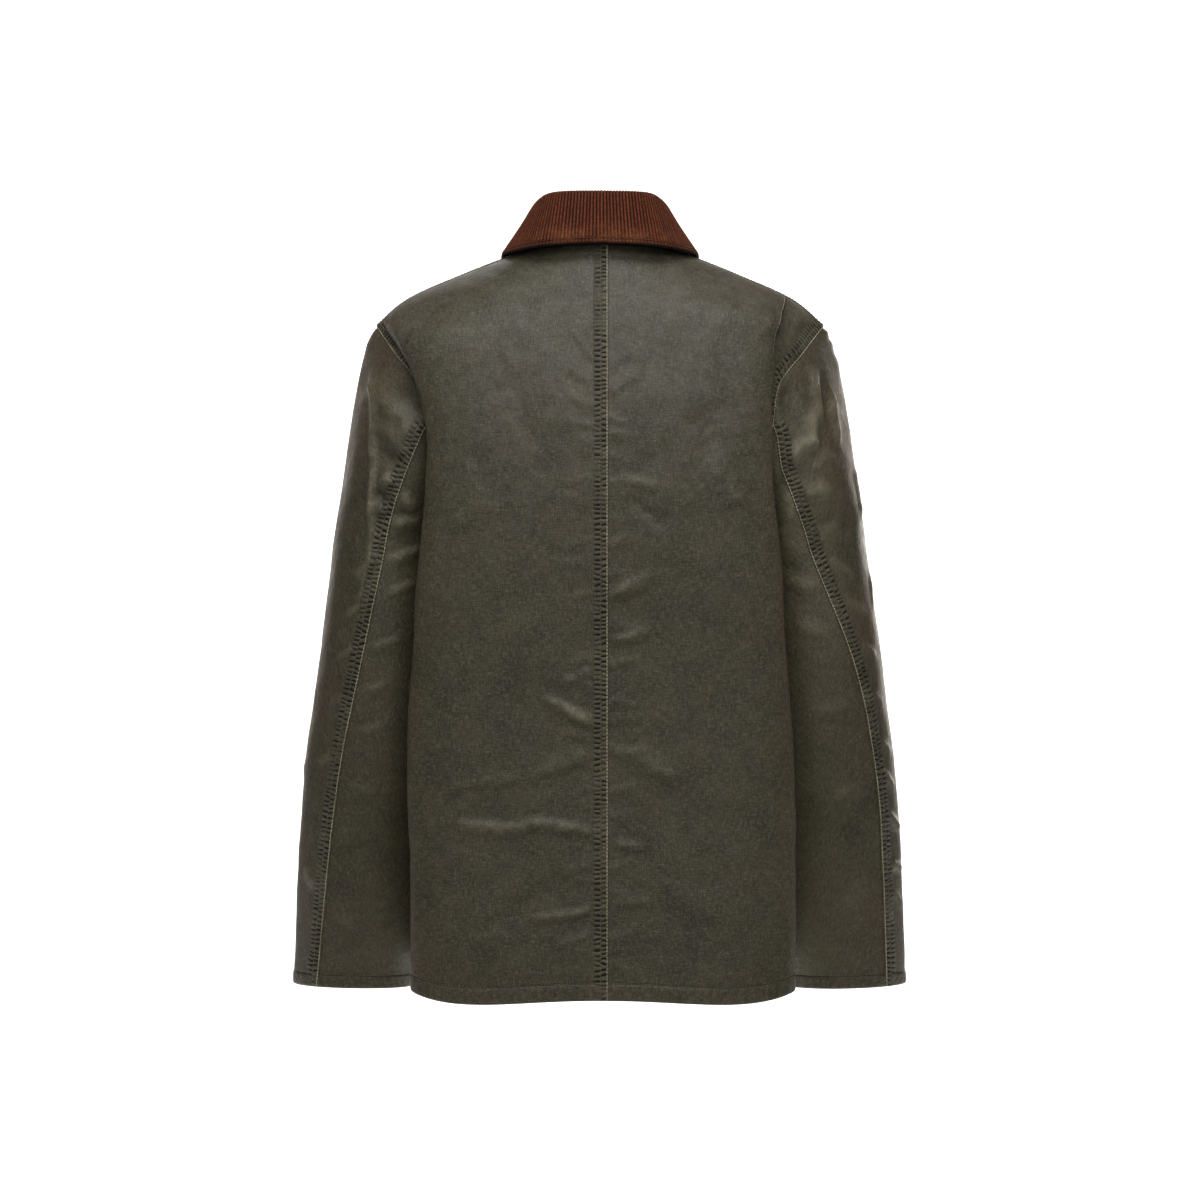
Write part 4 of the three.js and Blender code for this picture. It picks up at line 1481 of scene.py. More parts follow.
class Finish:
    """A material that is built of nodes. Its noises have a size in millimetres, a detail and a roughness."""

    name = "finish"
    noises = {}

    def build(self) -> Material:
        """Makes the material, with its noises on object coordinates.

        Returns:
            The material.
        """
        material = bpy.data.materials.new(self.name)
        material.use_nodes = True
        tree = material.node_tree
        tree.nodes.clear()
        place = node(tree, "TexCoord").outputs["Object"]
        noise = {}
        for name, (size, detail, rough) in self.noises.items():
            inputs = {"Vector": place, "Scale": 1 / (size * MM), "Detail": detail, "Roughness": rough}
            noise[name] = node(tree, "TexNoise", inputs).outputs["Fac"]
        shader = node(tree, "BsdfPrincipled", self.surface(tree, place, noise))
        node(tree, "OutputMaterial", {"Surface": shader.outputs[0]})
        return material

    def surface(self, tree: Tree, place: Socket, noise: dict[str, Socket]) -> dict:
        """Adds the nodes between the noises and the shader.

        Args:
            tree: where they go.
            place: the object coordinates.
            noise: each noise's value by its name.

        Returns:
            The shader's inputs by their names.
        """
        raise NotImplementedError

    def layered(self, tree: Tree, colour: str, *layers: tuple) -> Socket:
        """Lays colours over one another.

        Args:
            tree: where the nodes go.
            colour: the lowest colour.
            layers: each layer's colour, and a row for every value that thins it: the value alone, or with
                the two ends that it is drawn from and the two that it is drawn to.

        Returns:
            The colour on top.
        """
        top = linear(colour)
        for over, *rows in layers:
            shares = [node(tree, "MapRange", row).outputs[0] if len(row) > 1 else row[0] for row in rows]
            share = shares[0]
            for other in shares[1:]:
                share = node(tree, "Math", (share, other), operation="MULTIPLY").outputs[0]
            top = node(tree, "Mix", {0: share, 6: top, 7: linear(over)}, data_type="RGBA").outputs[2]
        return top


@dataclass(frozen=True)
class WaxedCotton(Finish):
    """Woven cotton dressed with wax: dull and mottled, with a broad soft sheen, paler where the wax has gone.

    The attributes worn and tint say how much paler the cloth is painted, as worn wax and as painted
    highlight, and where worn is negative how much darker, as painted shade; and how far it is painted brown,
    as browned cloth at the hems and seams and as painted rim light along the turns to the side. A greyish
    haze is painted stronger higher up, as painted sheen.
    """

    name: str = "waxed_cotton"
    dark: str = "#2b2919"
    light: str = "#454026"
    # brown: browned cloth at the hems and seams, and painted rim light along the turns to the side
    brown: str = "#533f2c"
    # greyish haze: partly wax haze in patches, partly painted sheen where it grows towards the top
    bloom_and_sheen: str = "#66625a"
    # pale: flecks, the weave's high threads, worn wax, and painted highlight where worn is positive
    rubbed: str = "#7d785f"
    # near black: the weave's low threads, and painted shade where worn is negative
    grime_and_shade: str = "#15140e"
    lichen: str = "#55542f"
    heather: str = "#463f45"
    thread: float = 1.0 * MM
    slub: float = 0.12

    noises = {
        "blotch": (34, 5, 0.62),
        "cloud": (120, 3, 0.55),
        "fleck": (2.4, 2, 0.7),
        "crinkle": (9, 3, 0.6),
        "powder": (15, 6, 0.7),
        "speck": (1.5, 2, 0.6),
        "sheen": (16, 4, 0.65),
        "crumple": (4.5, 3, 0.65),
    }

    def weave(self, tree: Tree) -> Socket:
        """Adds uneven threads that run both ways over the cloth.

        Args:
            tree: where their nodes go.

        Returns:
            The height of the weave.
        """
        place = node(tree, "UVMap", uv_map="cloth").outputs[0]
        threads = []
        # The real threads are about 0.5 mm apart. They are drawn twice as coarse, so that the weave shows.
        for across, along in ((1, self.slub), (self.slub, 1)):
            scale = (across / self.thread, along / self.thread, 1)
            drawn = node(tree, "Mapping", {"Vector": place, "Scale": scale}).outputs[0]
            noise = node(tree, "TexNoise", {"Vector": drawn, "Scale": 1.0, "Detail": 2.0})
            threads.append(noise.outputs["Fac"])
        return node(tree, "Math", threads, operation="ADD").outputs[0]

    def surface(self, tree: Tree, place: Socket, noise: dict[str, Socket]) -> dict:
        """Adds the nodes for the mottled colour, the weave and the wax.

        Args:
            tree: where they go.
            place: the object coordinates.
            noise: each noise's value by its name.

        Returns:
            The shader's inputs by their names.
        """
        marks = (node(tree, "Attribute", attribute_name=name) for name in ("worn", "tint"))
        worn, tint = (mark.outputs["Fac"] for mark in marks)
        level = node(tree, "SeparateXYZ", (place,)).outputs["Z"]
        powder = node(tree, "Math", (noise["powder"], noise["cloud"]), operation="MULTIPLY").outputs[0]
        weave = self.weave(tree)
        # where worn is negative the cloth is painted near black, as painted shade in crease troughs, pucker
        # valleys, the hems' fold lines and the buttonhole slits
        darkened = (worn, -0.05, -0.8, 0, 0.95)
        colour = self.layered(
            tree,
            self.dark,
            (self.light, (noise["blotch"], 0.34, 0.66, 0, 1)),
            # painted sheen: the greyish haze grows with height on the jacket, over patches of wax haze
            (self.bloom_and_sheen, (powder, 0.2, 0.36, 0.1, 0.62), (level, -0.3, -0.12, 0.35, 1.2)),
            # browner where tint is high: browned cloth at hems and seams, painted rim light along the turns
            # to the side
            (self.brown, (noise["cloud"], 0.38, 0.66, 0.15, 1), (tint,)),
            (self.rubbed, (noise["fleck"], 0.48, 0.75, 0, 0.5)),
            (self.lichen, (noise["speck"], 0.52, 0.75, 0, 0.55)),
            (self.heather, (noise["speck"], 0.48, 0.25, 0, 0.55)),
            # where worn is positive: worn wax, and painted highlight on ridges, seams and the sleeves
            (self.rubbed, (worn, 0.05, 1, 0, 0.85)),
            (self.rubbed, (weave, 1, 1.4, 0, 0.36)),
            (self.grime_and_shade, (weave, 1, 0.65, 0, 0.5)),
            (self.grime_and_shade, darkened),
        )
        sheen = node(tree, "Math", (noise["sheen"], noise["cloud"]), operation="ADD").outputs[0]
        shine = node(tree, "MapRange", (sheen, 0.75, 1.25, 0.42, 0.66)).outputs[0]
        # the painted shade also makes the cloth rougher
        painted_shade = node(tree, "MapRange", darkened).outputs[0]
        loose = node(tree, "MapRange", (worn, 0, 0.4, 0.3, 1)).outputs[0]
        crumple = node(tree, "Math", (noise["crumple"], loose), operation="MULTIPLY").outputs[0]
        relief = {}
        bumps = (weave, 0.6, 0.34), (noise["crinkle"], 0.5, 0.9), (crumple, 0.7, 1.3)
        for height, strength, depth in bumps:
            relief |= {"Height": height, "Strength": strength, "Distance": depth * MM}
            relief = {"Normal": node(tree, "Bump", relief).outputs[0]}
        return relief | {
            "Base Color": colour,
            "Roughness": node(tree, "Math", (shine, painted_shade), operation="MAXIMUM").outputs[0],
            "Specular IOR Level": 0.44,
            "Coat Weight": 0.08,
            "Coat Roughness": 0.4,
        }


@dataclass(frozen=True)
class Corduroy(Finish):
    """Cotton corduroy: its cut pile is warm rust on the wales, and the grooves between them are painted deep
    brown, as painted shade.
    """

    name: str = "corduroy"
    groove_shade: str = "#260f08"
    wale: str = "#7a3e26"
    paled: str = "#9c5f3c"
    glow: str = "#b9714b"

    noises = {"patch": (22, 4, 0.6), "fuzz": (1.7, 3, 0.7)}

    def surface(self, tree: Tree, place: Socket, noise: dict[str, Socket]) -> dict:
        """Adds the nodes for the pile's colour: darker towards the grooves by its height, as painted shade,
        its fading, its fuzz, and pale flecks on the wale tops, painted as glints.

        Args:
            tree: where they go.
            place: the object coordinates, which are not used.
            noise: each noise's value by its name.

        Returns:
            The shader's inputs by their names.
        """
        marks = (node(tree, "Attribute", attribute_name=name) for name in ("pile", "worn"))
        pile, worn = (mark.outputs["Fac"] for mark in marks)
        patch, fuzz = noise["patch"], noise["fuzz"]
        colour = self.layered(
            tree,
            self.groove_shade,
            # painted shade: the lower the pile, the nearer its colour comes to the deep brown of the grooves
            (self.wale, (pile, 0.4, 0.95, 0, 1)),
            (self.paled, (patch, 0.4, 0.7, 0.05, 0.8), (worn,)),
            (self.groove_shade, (fuzz, 0.42, 0.7, 0, 0.7)),
            # pale flecks on the wale tops, painted as glints of the pile
            (self.paled, (fuzz, 0.5, 0.3, 0, 0.75), (pile, 0.6, 1, 0, 1)),
        )
        bump = node(tree, "Bump", {"Height": fuzz, "Strength": 0.6, "Distance": 0.35 * MM})
        return {
            "Base Color": colour,
            "Roughness": 0.92,
            "Specular IOR Level": 0.2,
            "Sheen Weight": 0.3,
            "Sheen Roughness": 0.4,
            "Sheen Tint": linear(self.glow),
            "Normal": bump.outputs[0],
        }


@dataclass(frozen=True)
class DarkTwill(Finish):
    """Plain cotton twill in charcoal green, on the underside of the collar: matt, with fine slanting ribs."""

    name: str = "dark_twill"
    cloth: str = "#242622"
    rib: str = "#343630"
    slant: float = 55

    noises = {"fleck": (3, 3, 0.6)}

    def surface(self, tree: Tree, place: Socket, noise: dict[str, Socket]) -> dict:
        """Adds the nodes for the twill's ribs.

        Args:
            tree: where they go.
            place: the object coordinates, which are not used.
            noise: each noise's value by its name.

        Returns:
            The shader's inputs by their names.
        """
        cut = node(tree, "UVMap", uv_map="cloth").outputs[0]
        turn = (0, 0, math.radians(self.slant))
        turned = node(tree, "Mapping", {"Vector": cut, "Rotation": turn}).outputs[0]
        rib = node(tree, "TexWave", {"Vector": turned, "Scale": 42.0, "Distortion": 0.8}).outputs["Fac"]
        layers = (self.rib, (rib, 0.2, 0.9, 0, 0.7)), (self.cloth, (noise["fleck"], 0.4, 0.7, 0, 0.35))
        bump = node(tree, "Bump", {"Height": rib, "Strength": 0.5, "Distance": 0.2 * MM})
        return {
            "Base Color": self.layered(tree, self.cloth, *layers),
            "Roughness": 0.85,
            "Specular IOR Level": 0.3,
            "Normal": bump.outputs[0],
        }


@dataclass(frozen=True)
class SewingThread(Finish):
    """Twisted polyester-cotton thread: satin, a little uneven in shade along its length."""

    name: str = "thread_tan"
    shade: str = "#d2caa8"
    darkened: str = "#9c957a"

    noises = {"patch": (14, 4, 0.7), "ply": (0.7, 1, 0.5)}

    def surface(self, tree: Tree, place: Socket, noise: dict[str, Socket]) -> dict:
        """Adds the nodes for the thread's uneven shade.

        Args:
            tree: where they go.
            place: the object coordinates, which are not used.
            noise: each noise's value by its name.

        Returns:
            The shader's inputs by their names.
        """
        bump = node(tree, "Bump", {"Height": noise["ply"], "Strength": 0.5, "Distance": 0.2 * MM})
        return {
            "Base Color": self.layered(tree, self.shade, (self.darkened, (noise["patch"], 0.35, 0.65, 0, 1))),
            "Roughness": 0.6,
            "Specular IOR Level": 0.4,
            "Normal": bump.outputs[0],
        }


@dataclass(frozen=True)
class PolishedHorn(Finish):
    """Moulded horn-look plastic: dark brown with paler streaks and a soft polish."""

    name: str = "polished_horn"
    dark: str = "#1c130d"
    streak: str = "#5a4330"

    noises = {"polish": (2.5, 3, 0.5)}

    def surface(self, tree: Tree, place: Socket, noise: dict[str, Socket]) -> dict:
        """Adds the nodes for the streaks, drawn out across the button.

        Args:
            tree: where they go.
            place: the object coordinates.
            noise: each noise's value by its name.

        Returns:
            The shader's inputs by their names.
        """
        drawn = node(tree, "Mapping", {"Vector": place, "Scale": (60, 60, 420)}).outputs[0]
        streaks = node(tree, "TexNoise", {"Vector": drawn, "Scale": 1.0, "Detail": 4.0, "Distortion": 0.8})
        share = (streaks.outputs["Fac"], 0.42, 0.68, 0, 1)
        return {
            "Base Color": self.layered(tree, self.dark, (self.streak, share)),
            "Roughness": node(tree, "MapRange", (noise["polish"], 0.3, 0.7, 0.24, 0.4)).outputs[0],
            "IOR": 1.54,
        }


@dataclass(frozen=True)
class StudioPaper(Finish):
    """Pale seamless paper that is lit from behind: matt and even, with a very faint grain."""

    name: str = "studio_paper"
    white: str = "#f6f6f5"
    grain: str = "#eeeeed"
    glow: float = 0.98

    noises = {"grain": (4, 3, 0.5)}

    def surface(self, tree: Tree, place: Socket, noise: dict[str, Socket]) -> dict:
        """Adds the nodes for the paper's faint grain and its glow.

        Args:
            tree: where they go.
            place: the object coordinates, which are not used.
            noise: each noise's value by its name.

        Returns:
            The shader's inputs by their names.
        """
        return {
            "Base Color": self.layered(tree, self.white, (self.grain, (noise["grain"], 0.3, 0.7, 0, 0.15))),
            "Roughness": 0.95,
            "Specular IOR Level": 0.1,
            "Emission Color": linear("#ffffff"),
            "Emission Strength": self.glow,
        }


# ------------------------------------------------------------------ creases, placed one by one
def creases(*rows: tuple[float, ...]) -> tuple[Crease, ...]:
    """Creases from rows: across and z of both ends, height, upper and lower half width, bow, and rub, its
    painted paleness, or where negative its painted shade.
    """
    return tuple(Crease(row[:2], row[2:4], *row[4:]) for row in rows)


# The last number of a row paints the ridge paler, partly as worn wax and partly as painted highlight; where
# it is negative it paints the trough darker, as painted shade.
BACK_CREASES = creases(
    # the largest ones, which run in from the wearer's left and stop at the centre seam
    (56, -432, 3, -458, 1.7, 3.2, 6, -3, 0.55),
    (36, -417, 4, -403, 1, 3, 5, 0, 0.3),
    (66, -508, 8, -486, 1.3, 8, 7, 0, 0.15),
    (141, -547, 62, -550, 1.6, 3.4, 8, 5, 0.5),
    (72, -548, 6, -558, 1.5, 3.2, 7, -4, 0.45),
    (66, -640, 6, -628, 1.1, 3, 5.5, 2, 0.3),
    (139, -517, 66, -505, 0.7, 4, 6, 0, 0.1),
    (143, -272, 98, -250, 1.3, 6, 9, -4, 0.15),
    (37, -214, 62, -254, 0.8, 5, 6, 0, 0.1),
    (88, -126, 70, -196, -1.6, 16, 15),
    (230, -62, 207, -114, 1, 3.4, 3.4, 0, 0.2),
    # a trough beside the fold over the left armhole, painted dark as the fold's shadow
    (240, -66, 214, -118, -1.2, 3.6, 3.6, 0, -0.8),
    (120, -196, 104, -236, -0.9, 12, 11),
    (30, -600, 120, -660, -0.7, 10, 9),
    # and those on the wearer's right
    (-13, -334, -50, -316, 1.7, 6, 7.5, 0, 0.35),
    (-11, -376, -50, -364, 1.2, 3.6, 6, 2, 0.35),
    (-13, -484, -48, -481, 0.9, 3.4, 5, 0, 0.25),
    (-28, -488, -80, -510, 1.4, 9, 9, 0, 0.15),
    (-14, -568, -42, -575, 1.1, 3.2, 5, 0, 0.35),
    (-12, -625, -52, -623, 0.8, 4, 5.5, 0, 0.15),
    (-22, -226, -60, -234, 1.1, 5, 6, 0, 0.2),
    (-27, -243, -62, -274, -1.4, 7, 6),
    (-94, -156, -108, -206, -1.7, 14, 13),
    (-112, -208, -134, -252, 1.3, 9, 10, 0, 0.2),
    (-118, -100, -126, -176, -1.1, 8, 10),
    (-60, -136, -86, -250, 0.8, 12, 14),
    (-193, -44, -171, -92, 1.1, 3, 3, 0, 0.2),
    (-171, -84, -167, -142, 1.1, 3, 3, 0, 0.2),
    (-216, -58, -192, -104, 0.3, 8, 8, 0, 0.25),
    # troughs beside the fold over the right armhole, painted dark as the fold's shadow
    (-198, -48, -177, -94, -2.2, 3, 3, 0, -0.5),
    (-177, -86, -173, -140, -2.2, 3, 3, 0, -0.5),
    (-40, -600, -130, -650, 0.6, 12, 10),
    # drag lines that fan out above the shoulder blades
    (9, -118, 30, -96, -0.7, 4, 5),
    (9, -140, 34, -126, -0.7, 4, 5),
    (-9, -128, -30, -112, -0.7, 4, 5),
    (-9, -146, -40, -124, 0.9, 4, 5, 0, 0.2),
)
# Short ripples that the centre seam draws in from both sides: height on the seam, reach to the left and to
# the right, and how far their outer ends lie above it.
CENTRE_RIPPLES = (
    (-158, 26, 22, 8, 0.8),
    (-176, 30, 34, 4, 1.0),
    (-196, 22, 36, 10, 0.7),
    (-224, 34, 20, -4, 0.8),
    (-252, 28, 26, 5, 0.7),
    (-281, 36, 22, -6, 0.8),
    (-306, 40, 30, 2, 0.7),
    (-330, 28, 18, -5, 0.8),
    (-352, 34, 40, 6, 0.7),
    (-392, 24, 34, -4, 0.7),
    (-424, 20, 30, 5, 0.6),
    (-447, 26, 38, -3, 0.7),
    (-470, 30, 22, 4, 0.6),
    (-514, 24, 32, -6, 0.7),
    (-534, 20, 26, 3, 0.6),
    (-586, 34, 24, -5, 0.7),
    (-606, 22, 36, 4, 0.6),
    (-652, 36, 28, -6, 0.7),
    (-674, 24, 30, 5, 0.5),
)
FRONT_CREASES = creases(
    (30, -250, 110, -214, 1.3, 6, 8, 3, 0.2),
    (-26, -262, -100, -240, 1.2, 6, 8, -3, 0.2),
    (40, -330, 118, -352, 1.3, 5, 8, 4, 0.3),
    (-30, -356, -120, -338, 1.4, 5, 8, 5, 0.3),
    (24, -430, 90, -446, 1.2, 4, 7, 0, 0.35),
    (-26, -452, -84, -470, 1.2, 4, 7, 0, 0.35),
    (36, -520, 140, -498, 1.3, 5, 9, -4, 0.25),
    (-34, -545, -128, -560, 1.4, 4, 8, 4, 0.4),
    (50, -610, 110, -600, 0.9, 6, 8, 0, 0.15),
    (-50, -632, -130, -618, 0.9, 6, 8, 0, 0.15),
    (96, -130, 112, -210, -1.5, 12, 13),
    (-94, -132, -114, -206, -1.5, 12, 13),
    (170, -330, 240, -352, 1.3, 6, 8, 0, 0.3),
    (-172, -344, -242, -326, 1.3, 6, 8, 0, 0.3),
    (176, -470, 244, -486, 1.2, 6, 8, 0, 0.3),
    (-180, -486, -246, -470, 1.2, 6, 8, 0, 0.3),
)
# On a sleeve the first number is the angle from its outer point, which is about a millimetre round the arm.
SLEEVE_CREASES_LEFT = creases(
    # the long sharp ridge behind the outer side, and the broad fold that runs in under the armhole
    (20, -118, 50, -198, 2.6, 3, 3.4, -2, 0.8),
    (47, -186, 73, -274, 2.8, 3, 3.4, -2, 0.85),
    (72, -262, 79, -306, 2, 3.4, 3.8, 0, 0.6),
    (76, -300, 68, -346, 1.4, 4, 5, 0, 0.35),
    (26, -122, 96, -194, 3, 8, 9, 5, 0.3),
    (44, -164, 90, -206, 2, 5, 7, 0, 0.3),
    (40, -136, 86, -166, -2, 7, 7),
    (58, -196, 86, -212, -2.2, 8, 8),
    # short folds that the back seam draws in
    (68, -222, 86, -228, 2.4, 5, 7, 0, 0.5),
    (66, -238, 86, -246, -2, 5, 6),
    (74, -250, 88, -256, 1.8, 4, 6, 0, 0.4),
    (96, -240, 118, -254, 2.4, 5, 7, 0, 0.5),
    (94, -268, 126, -262, 2, 5, 6, 0, 0.35),
    (98, -254, 122, -262, -1.6, 4, 5),
    (96, -302, 134, -288, 1.5, 4, 6, 0, 0.35),
    (96, -332, 130, -322, 1, 3.4, 5, 0, 0.25),
    (60, -318, 82, -300, 1.6, 4, 6, 0, 0.4),
    (50, -340, 78, -322, -1.2, 5, 6),
    (52, -358, 76, -340, 1.2, 3, 4.4, 0, 0.45),
    (50, -398, 74, -384, 1.1, 3, 4.4, 0, 0.4),
    (88, -386, 116, -376, 0.9, 3, 4.4, 0, 0.25),
    (84, -428, 108, -420, 0.8, 3, 4.4, 0, 0.2),
    (46, -440, 68, -432, 0.9, 3, 4.4, 0, 0.35),
    (82, -470, 110, -460, 0.9, 3.2, 4.6, 0, 0.2),
    (40, -496, 60, -488, 0.8, 3, 4.4, 0, 0.3),
    (74, -520, 104, -528, 1, 6, 8, 0, 0.15),
    (70, -566, 104, -574, 1, 6, 8, 0, 0.15),
    (66, -628, 92, -664, 1.2, 4, 6, 0, 0.15),
    (34, -600, 54, -618, 1.2, 5, 7, 0, 0.25),
    # and those on the outer side, in front and inside
    (-10, -300, -60, -330, 1.9, 6, 8, 0, 0.3),
    (-30, -372, -92, -350, 1.9, 5, 8, 0, 0.3),
    (-20, -430, -80, -446, 1.6, 5, 8, 0, 0.3),
    (10, -500, -50, -520, 1.2, 5, 8, 0, 0.2),
    (-60, -560, -110, -548, 1.4, 6, 8, 0, 0.2),
    (-110, -330, -160, -310, 1.8, 6, 8, 0, 0.2),
    (-120, -390, -170, -376, 1.6, 6, 8, 0, 0.2),
)
SLEEVE_CREASES_RIGHT = creases(
    # two ridges that fall from the shoulder point, the first one turning in to the back seam
    (30, -116, 44, -172, 3.4, 3, 3.8, 0, 0.8),
    (43, -158, 64, -198, 3.8, 3.4, 4.6, -3, 0.8),
    (56, -184, 96, -212, 3.4, 5, 8, -3, 0.7),
    (22, -138, 33, -190, 2.4, 3.2, 4, 0, 0.75),
    (24, -120, 37, -176, -2, 3.6, 3.6),
    (58, -128, 72, -178, -3.2, 8, 9),
    # the broad paler places below them, partly worn wax and partly painted highlight
    (44, -196, 70, -218, 2, 9, 9, 0, 0.35),
    (56, -228, 92, -240, 2.2, 9, 12, 0, 0.5),
    (108, -232, 122, -300, 2.4, 13, 13, 0, 0.7),
    (112, -180, 118, -226, 1.2, 10, 12, 0, 0.5),
    (34, -252, 58, -280, -2.4, 8, 9),
    (62, -262, 84, -272, -1.6, 6, 7),
    (8, -204, 16, -262, 1.5, 3.6, 4.5, 0, 0.5),
    (14, -310, 20, -352, 1.5, 3, 4, 0, 0.45),
    # short folds that the back seam draws in
    (52, -318, 76, -300, 1.3, 4, 6, 0, 0.25),
    (92, -330, 126, -318, 1.2, 6, 8, 0, 0.15),
    (40, -352, 66, -340, 1.2, 4, 6, 0, 0.25),
    (86, -376, 120, -364, 1.2, 6, 8, 0, 0.15),
    (30, -396, 54, -380, 1.2, 4, 6, 0, 0.25),
    (28, -440, 50, -430, 1.1, 4, 6, 0, 0.25),
    (72, -440, 108, -450, 1.1, 7, 8, 0, 0.15),
    (22, -488, 46, -474, 1.1, 4, 6, 0, 0.25),
    (20, -524, 44, -504, 1.4, 4, 6, 0, 0.35),
    (66, -520, 100, -536, 1, 7, 8, 0, 0.15),
    (12, -566, 40, -548, 1.9, 4, 6, 0, 0.6),
    (10, -604, 40, -598, 1.7, 4, 6, 0, 0.6),
    (14, -644, 42, -624, 1.7, 4, 6, 0, 0.5),
    (64, -616, 98, -640, 1.1, 7, 8, 0, 0.15),
    # and those on the outer side, in front and inside
    (-12, -306, -66, -326, 1.9, 6, 8, 0, 0.3),
    (-26, -366, -88, -352, 1.9, 5, 8, 0, 0.3),
    (-20, -436, -84, -444, 1.6, 5, 8, 0, 0.3),
    (-60, -550, -110, -560, 1.4, 6, 8, 0, 0.2),
    (-112, -324, -162, -306, 1.8, 6, 8, 0, 0.2),
    (-120, -384, -170, -372, 1.6, 6, 8, 0, 0.2),
)


def centre_ripples() -> tuple[Crease, ...]:
    """Makes the short ripples at the centre back seam, on both sides of it.

    Returns:
        Two creases for each row of the table.
    """
    start, drop = 5, 7
    made = []
    for z, left, right, rise, height in CENTRE_RIPPLES:
        shape = (height * 0.6, 3.4, 5.4)
        made.append(Crease((start, z), (start + left, z + 2 * rise), *shape, rub=0.12))
        z = z - drop
        made.append(Crease((-start, z), (-start - right, z - 1.4 * rise), *shape, rub=0.12))
    return tuple(made)


# ------------------------------------------------------------------ sub-assemblies
@dataclass
class Wardrobe:
    """What the sub-assemblies share: the finishes, the cloth to lay seams on, and the pieces so far."""

    shell: Material
    corduroy: Material
    twill: Material
    thread: Material
    dark_thread: Material
    rust_thread: Material
    horn: Material
    paper: Material
    cloth: ClothSurface = field(default_factory=ClothSurface)
    sheets: dict[str, tuple] = field(default_factory=dict)
    on_sheet: dict[str, list] = field(default_factory=dict)
    coarse: float = 1.0

    @classmethod
    def filled(cls) -> "Wardrobe":
        """Builds all the finishes.

        Returns:
            The wardrobe.
        """
        return cls(
            shell=WaxedCotton().build(),
            corduroy=Corduroy().build(),
            twill=DarkTwill().build(),
            thread=SewingThread().build(),
            dark_thread=SewingThread("thread_olive", "#827b5c", "#4e4934").build(),
            rust_thread=SewingThread("thread_rust", "#7d4a30", "#5a3222").build(),
            horn=PolishedHorn().build(),
            paper=StudioPaper().build(),
            coarse=1.0,
        )

    def keep(self, made: Object, slot: str, *nodes: str) -> Object:
        """Lets a piece ride on the body, and reports it.

        Args:
            made: the piece.
            slot: the slot of its finish, which is not used.
            nodes: the solids that it stands for.

        Returns:
            The piece.
        """
        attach(made, "root")
        if nodes:
            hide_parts(*nodes)
        log.info("%s: %d faces", made.name, len(made.data.polygons))
        return made

    def lay_on(self, panel: str, made: Object) -> None:
        """Notes that a piece is sewn on a panel."""
        self.on_sheet.setdefault(panel, []).append(made)

    def declare(self) -> None:
        for name, (made, flat, area, held) in self.sheets.items():
            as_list(self.on_sheet.get(name, []))


def spread(form: Form, u: Array, v: Array, pitch: float, axis: int) -> list[int]:
    """Counts the steps that each interval needs, for points no further apart than the pitch.

    Args:
        form: the worn form.
        u: places along it.
        v: places across it.
        pitch: the longest distance.
        axis: 0 for the intervals of u, and 1 for those of v.

    Returns:
        A number for each interval.
    """
    a, b = np.meshgrid(u, v, indexing="ij")
    gaps = np.linalg.norm(np.diff(form.smooth_points(a, b), axis=axis), axis=-1).max(axis=1 - axis)
    return [max(1, int(math.ceil(g / pitch))) for g in gaps]


def filled_out(marks: Sequence[float], counts: Sequence[int]) -> Array:
    """Places between marks, with the given number of steps in each interval."""
    parts = [np.linspace(a, b, n, endpoint=False) for a, b, n in zip(marks, marks[1:], counts)]
    return np.concatenate([*parts, [marks[-1]]])


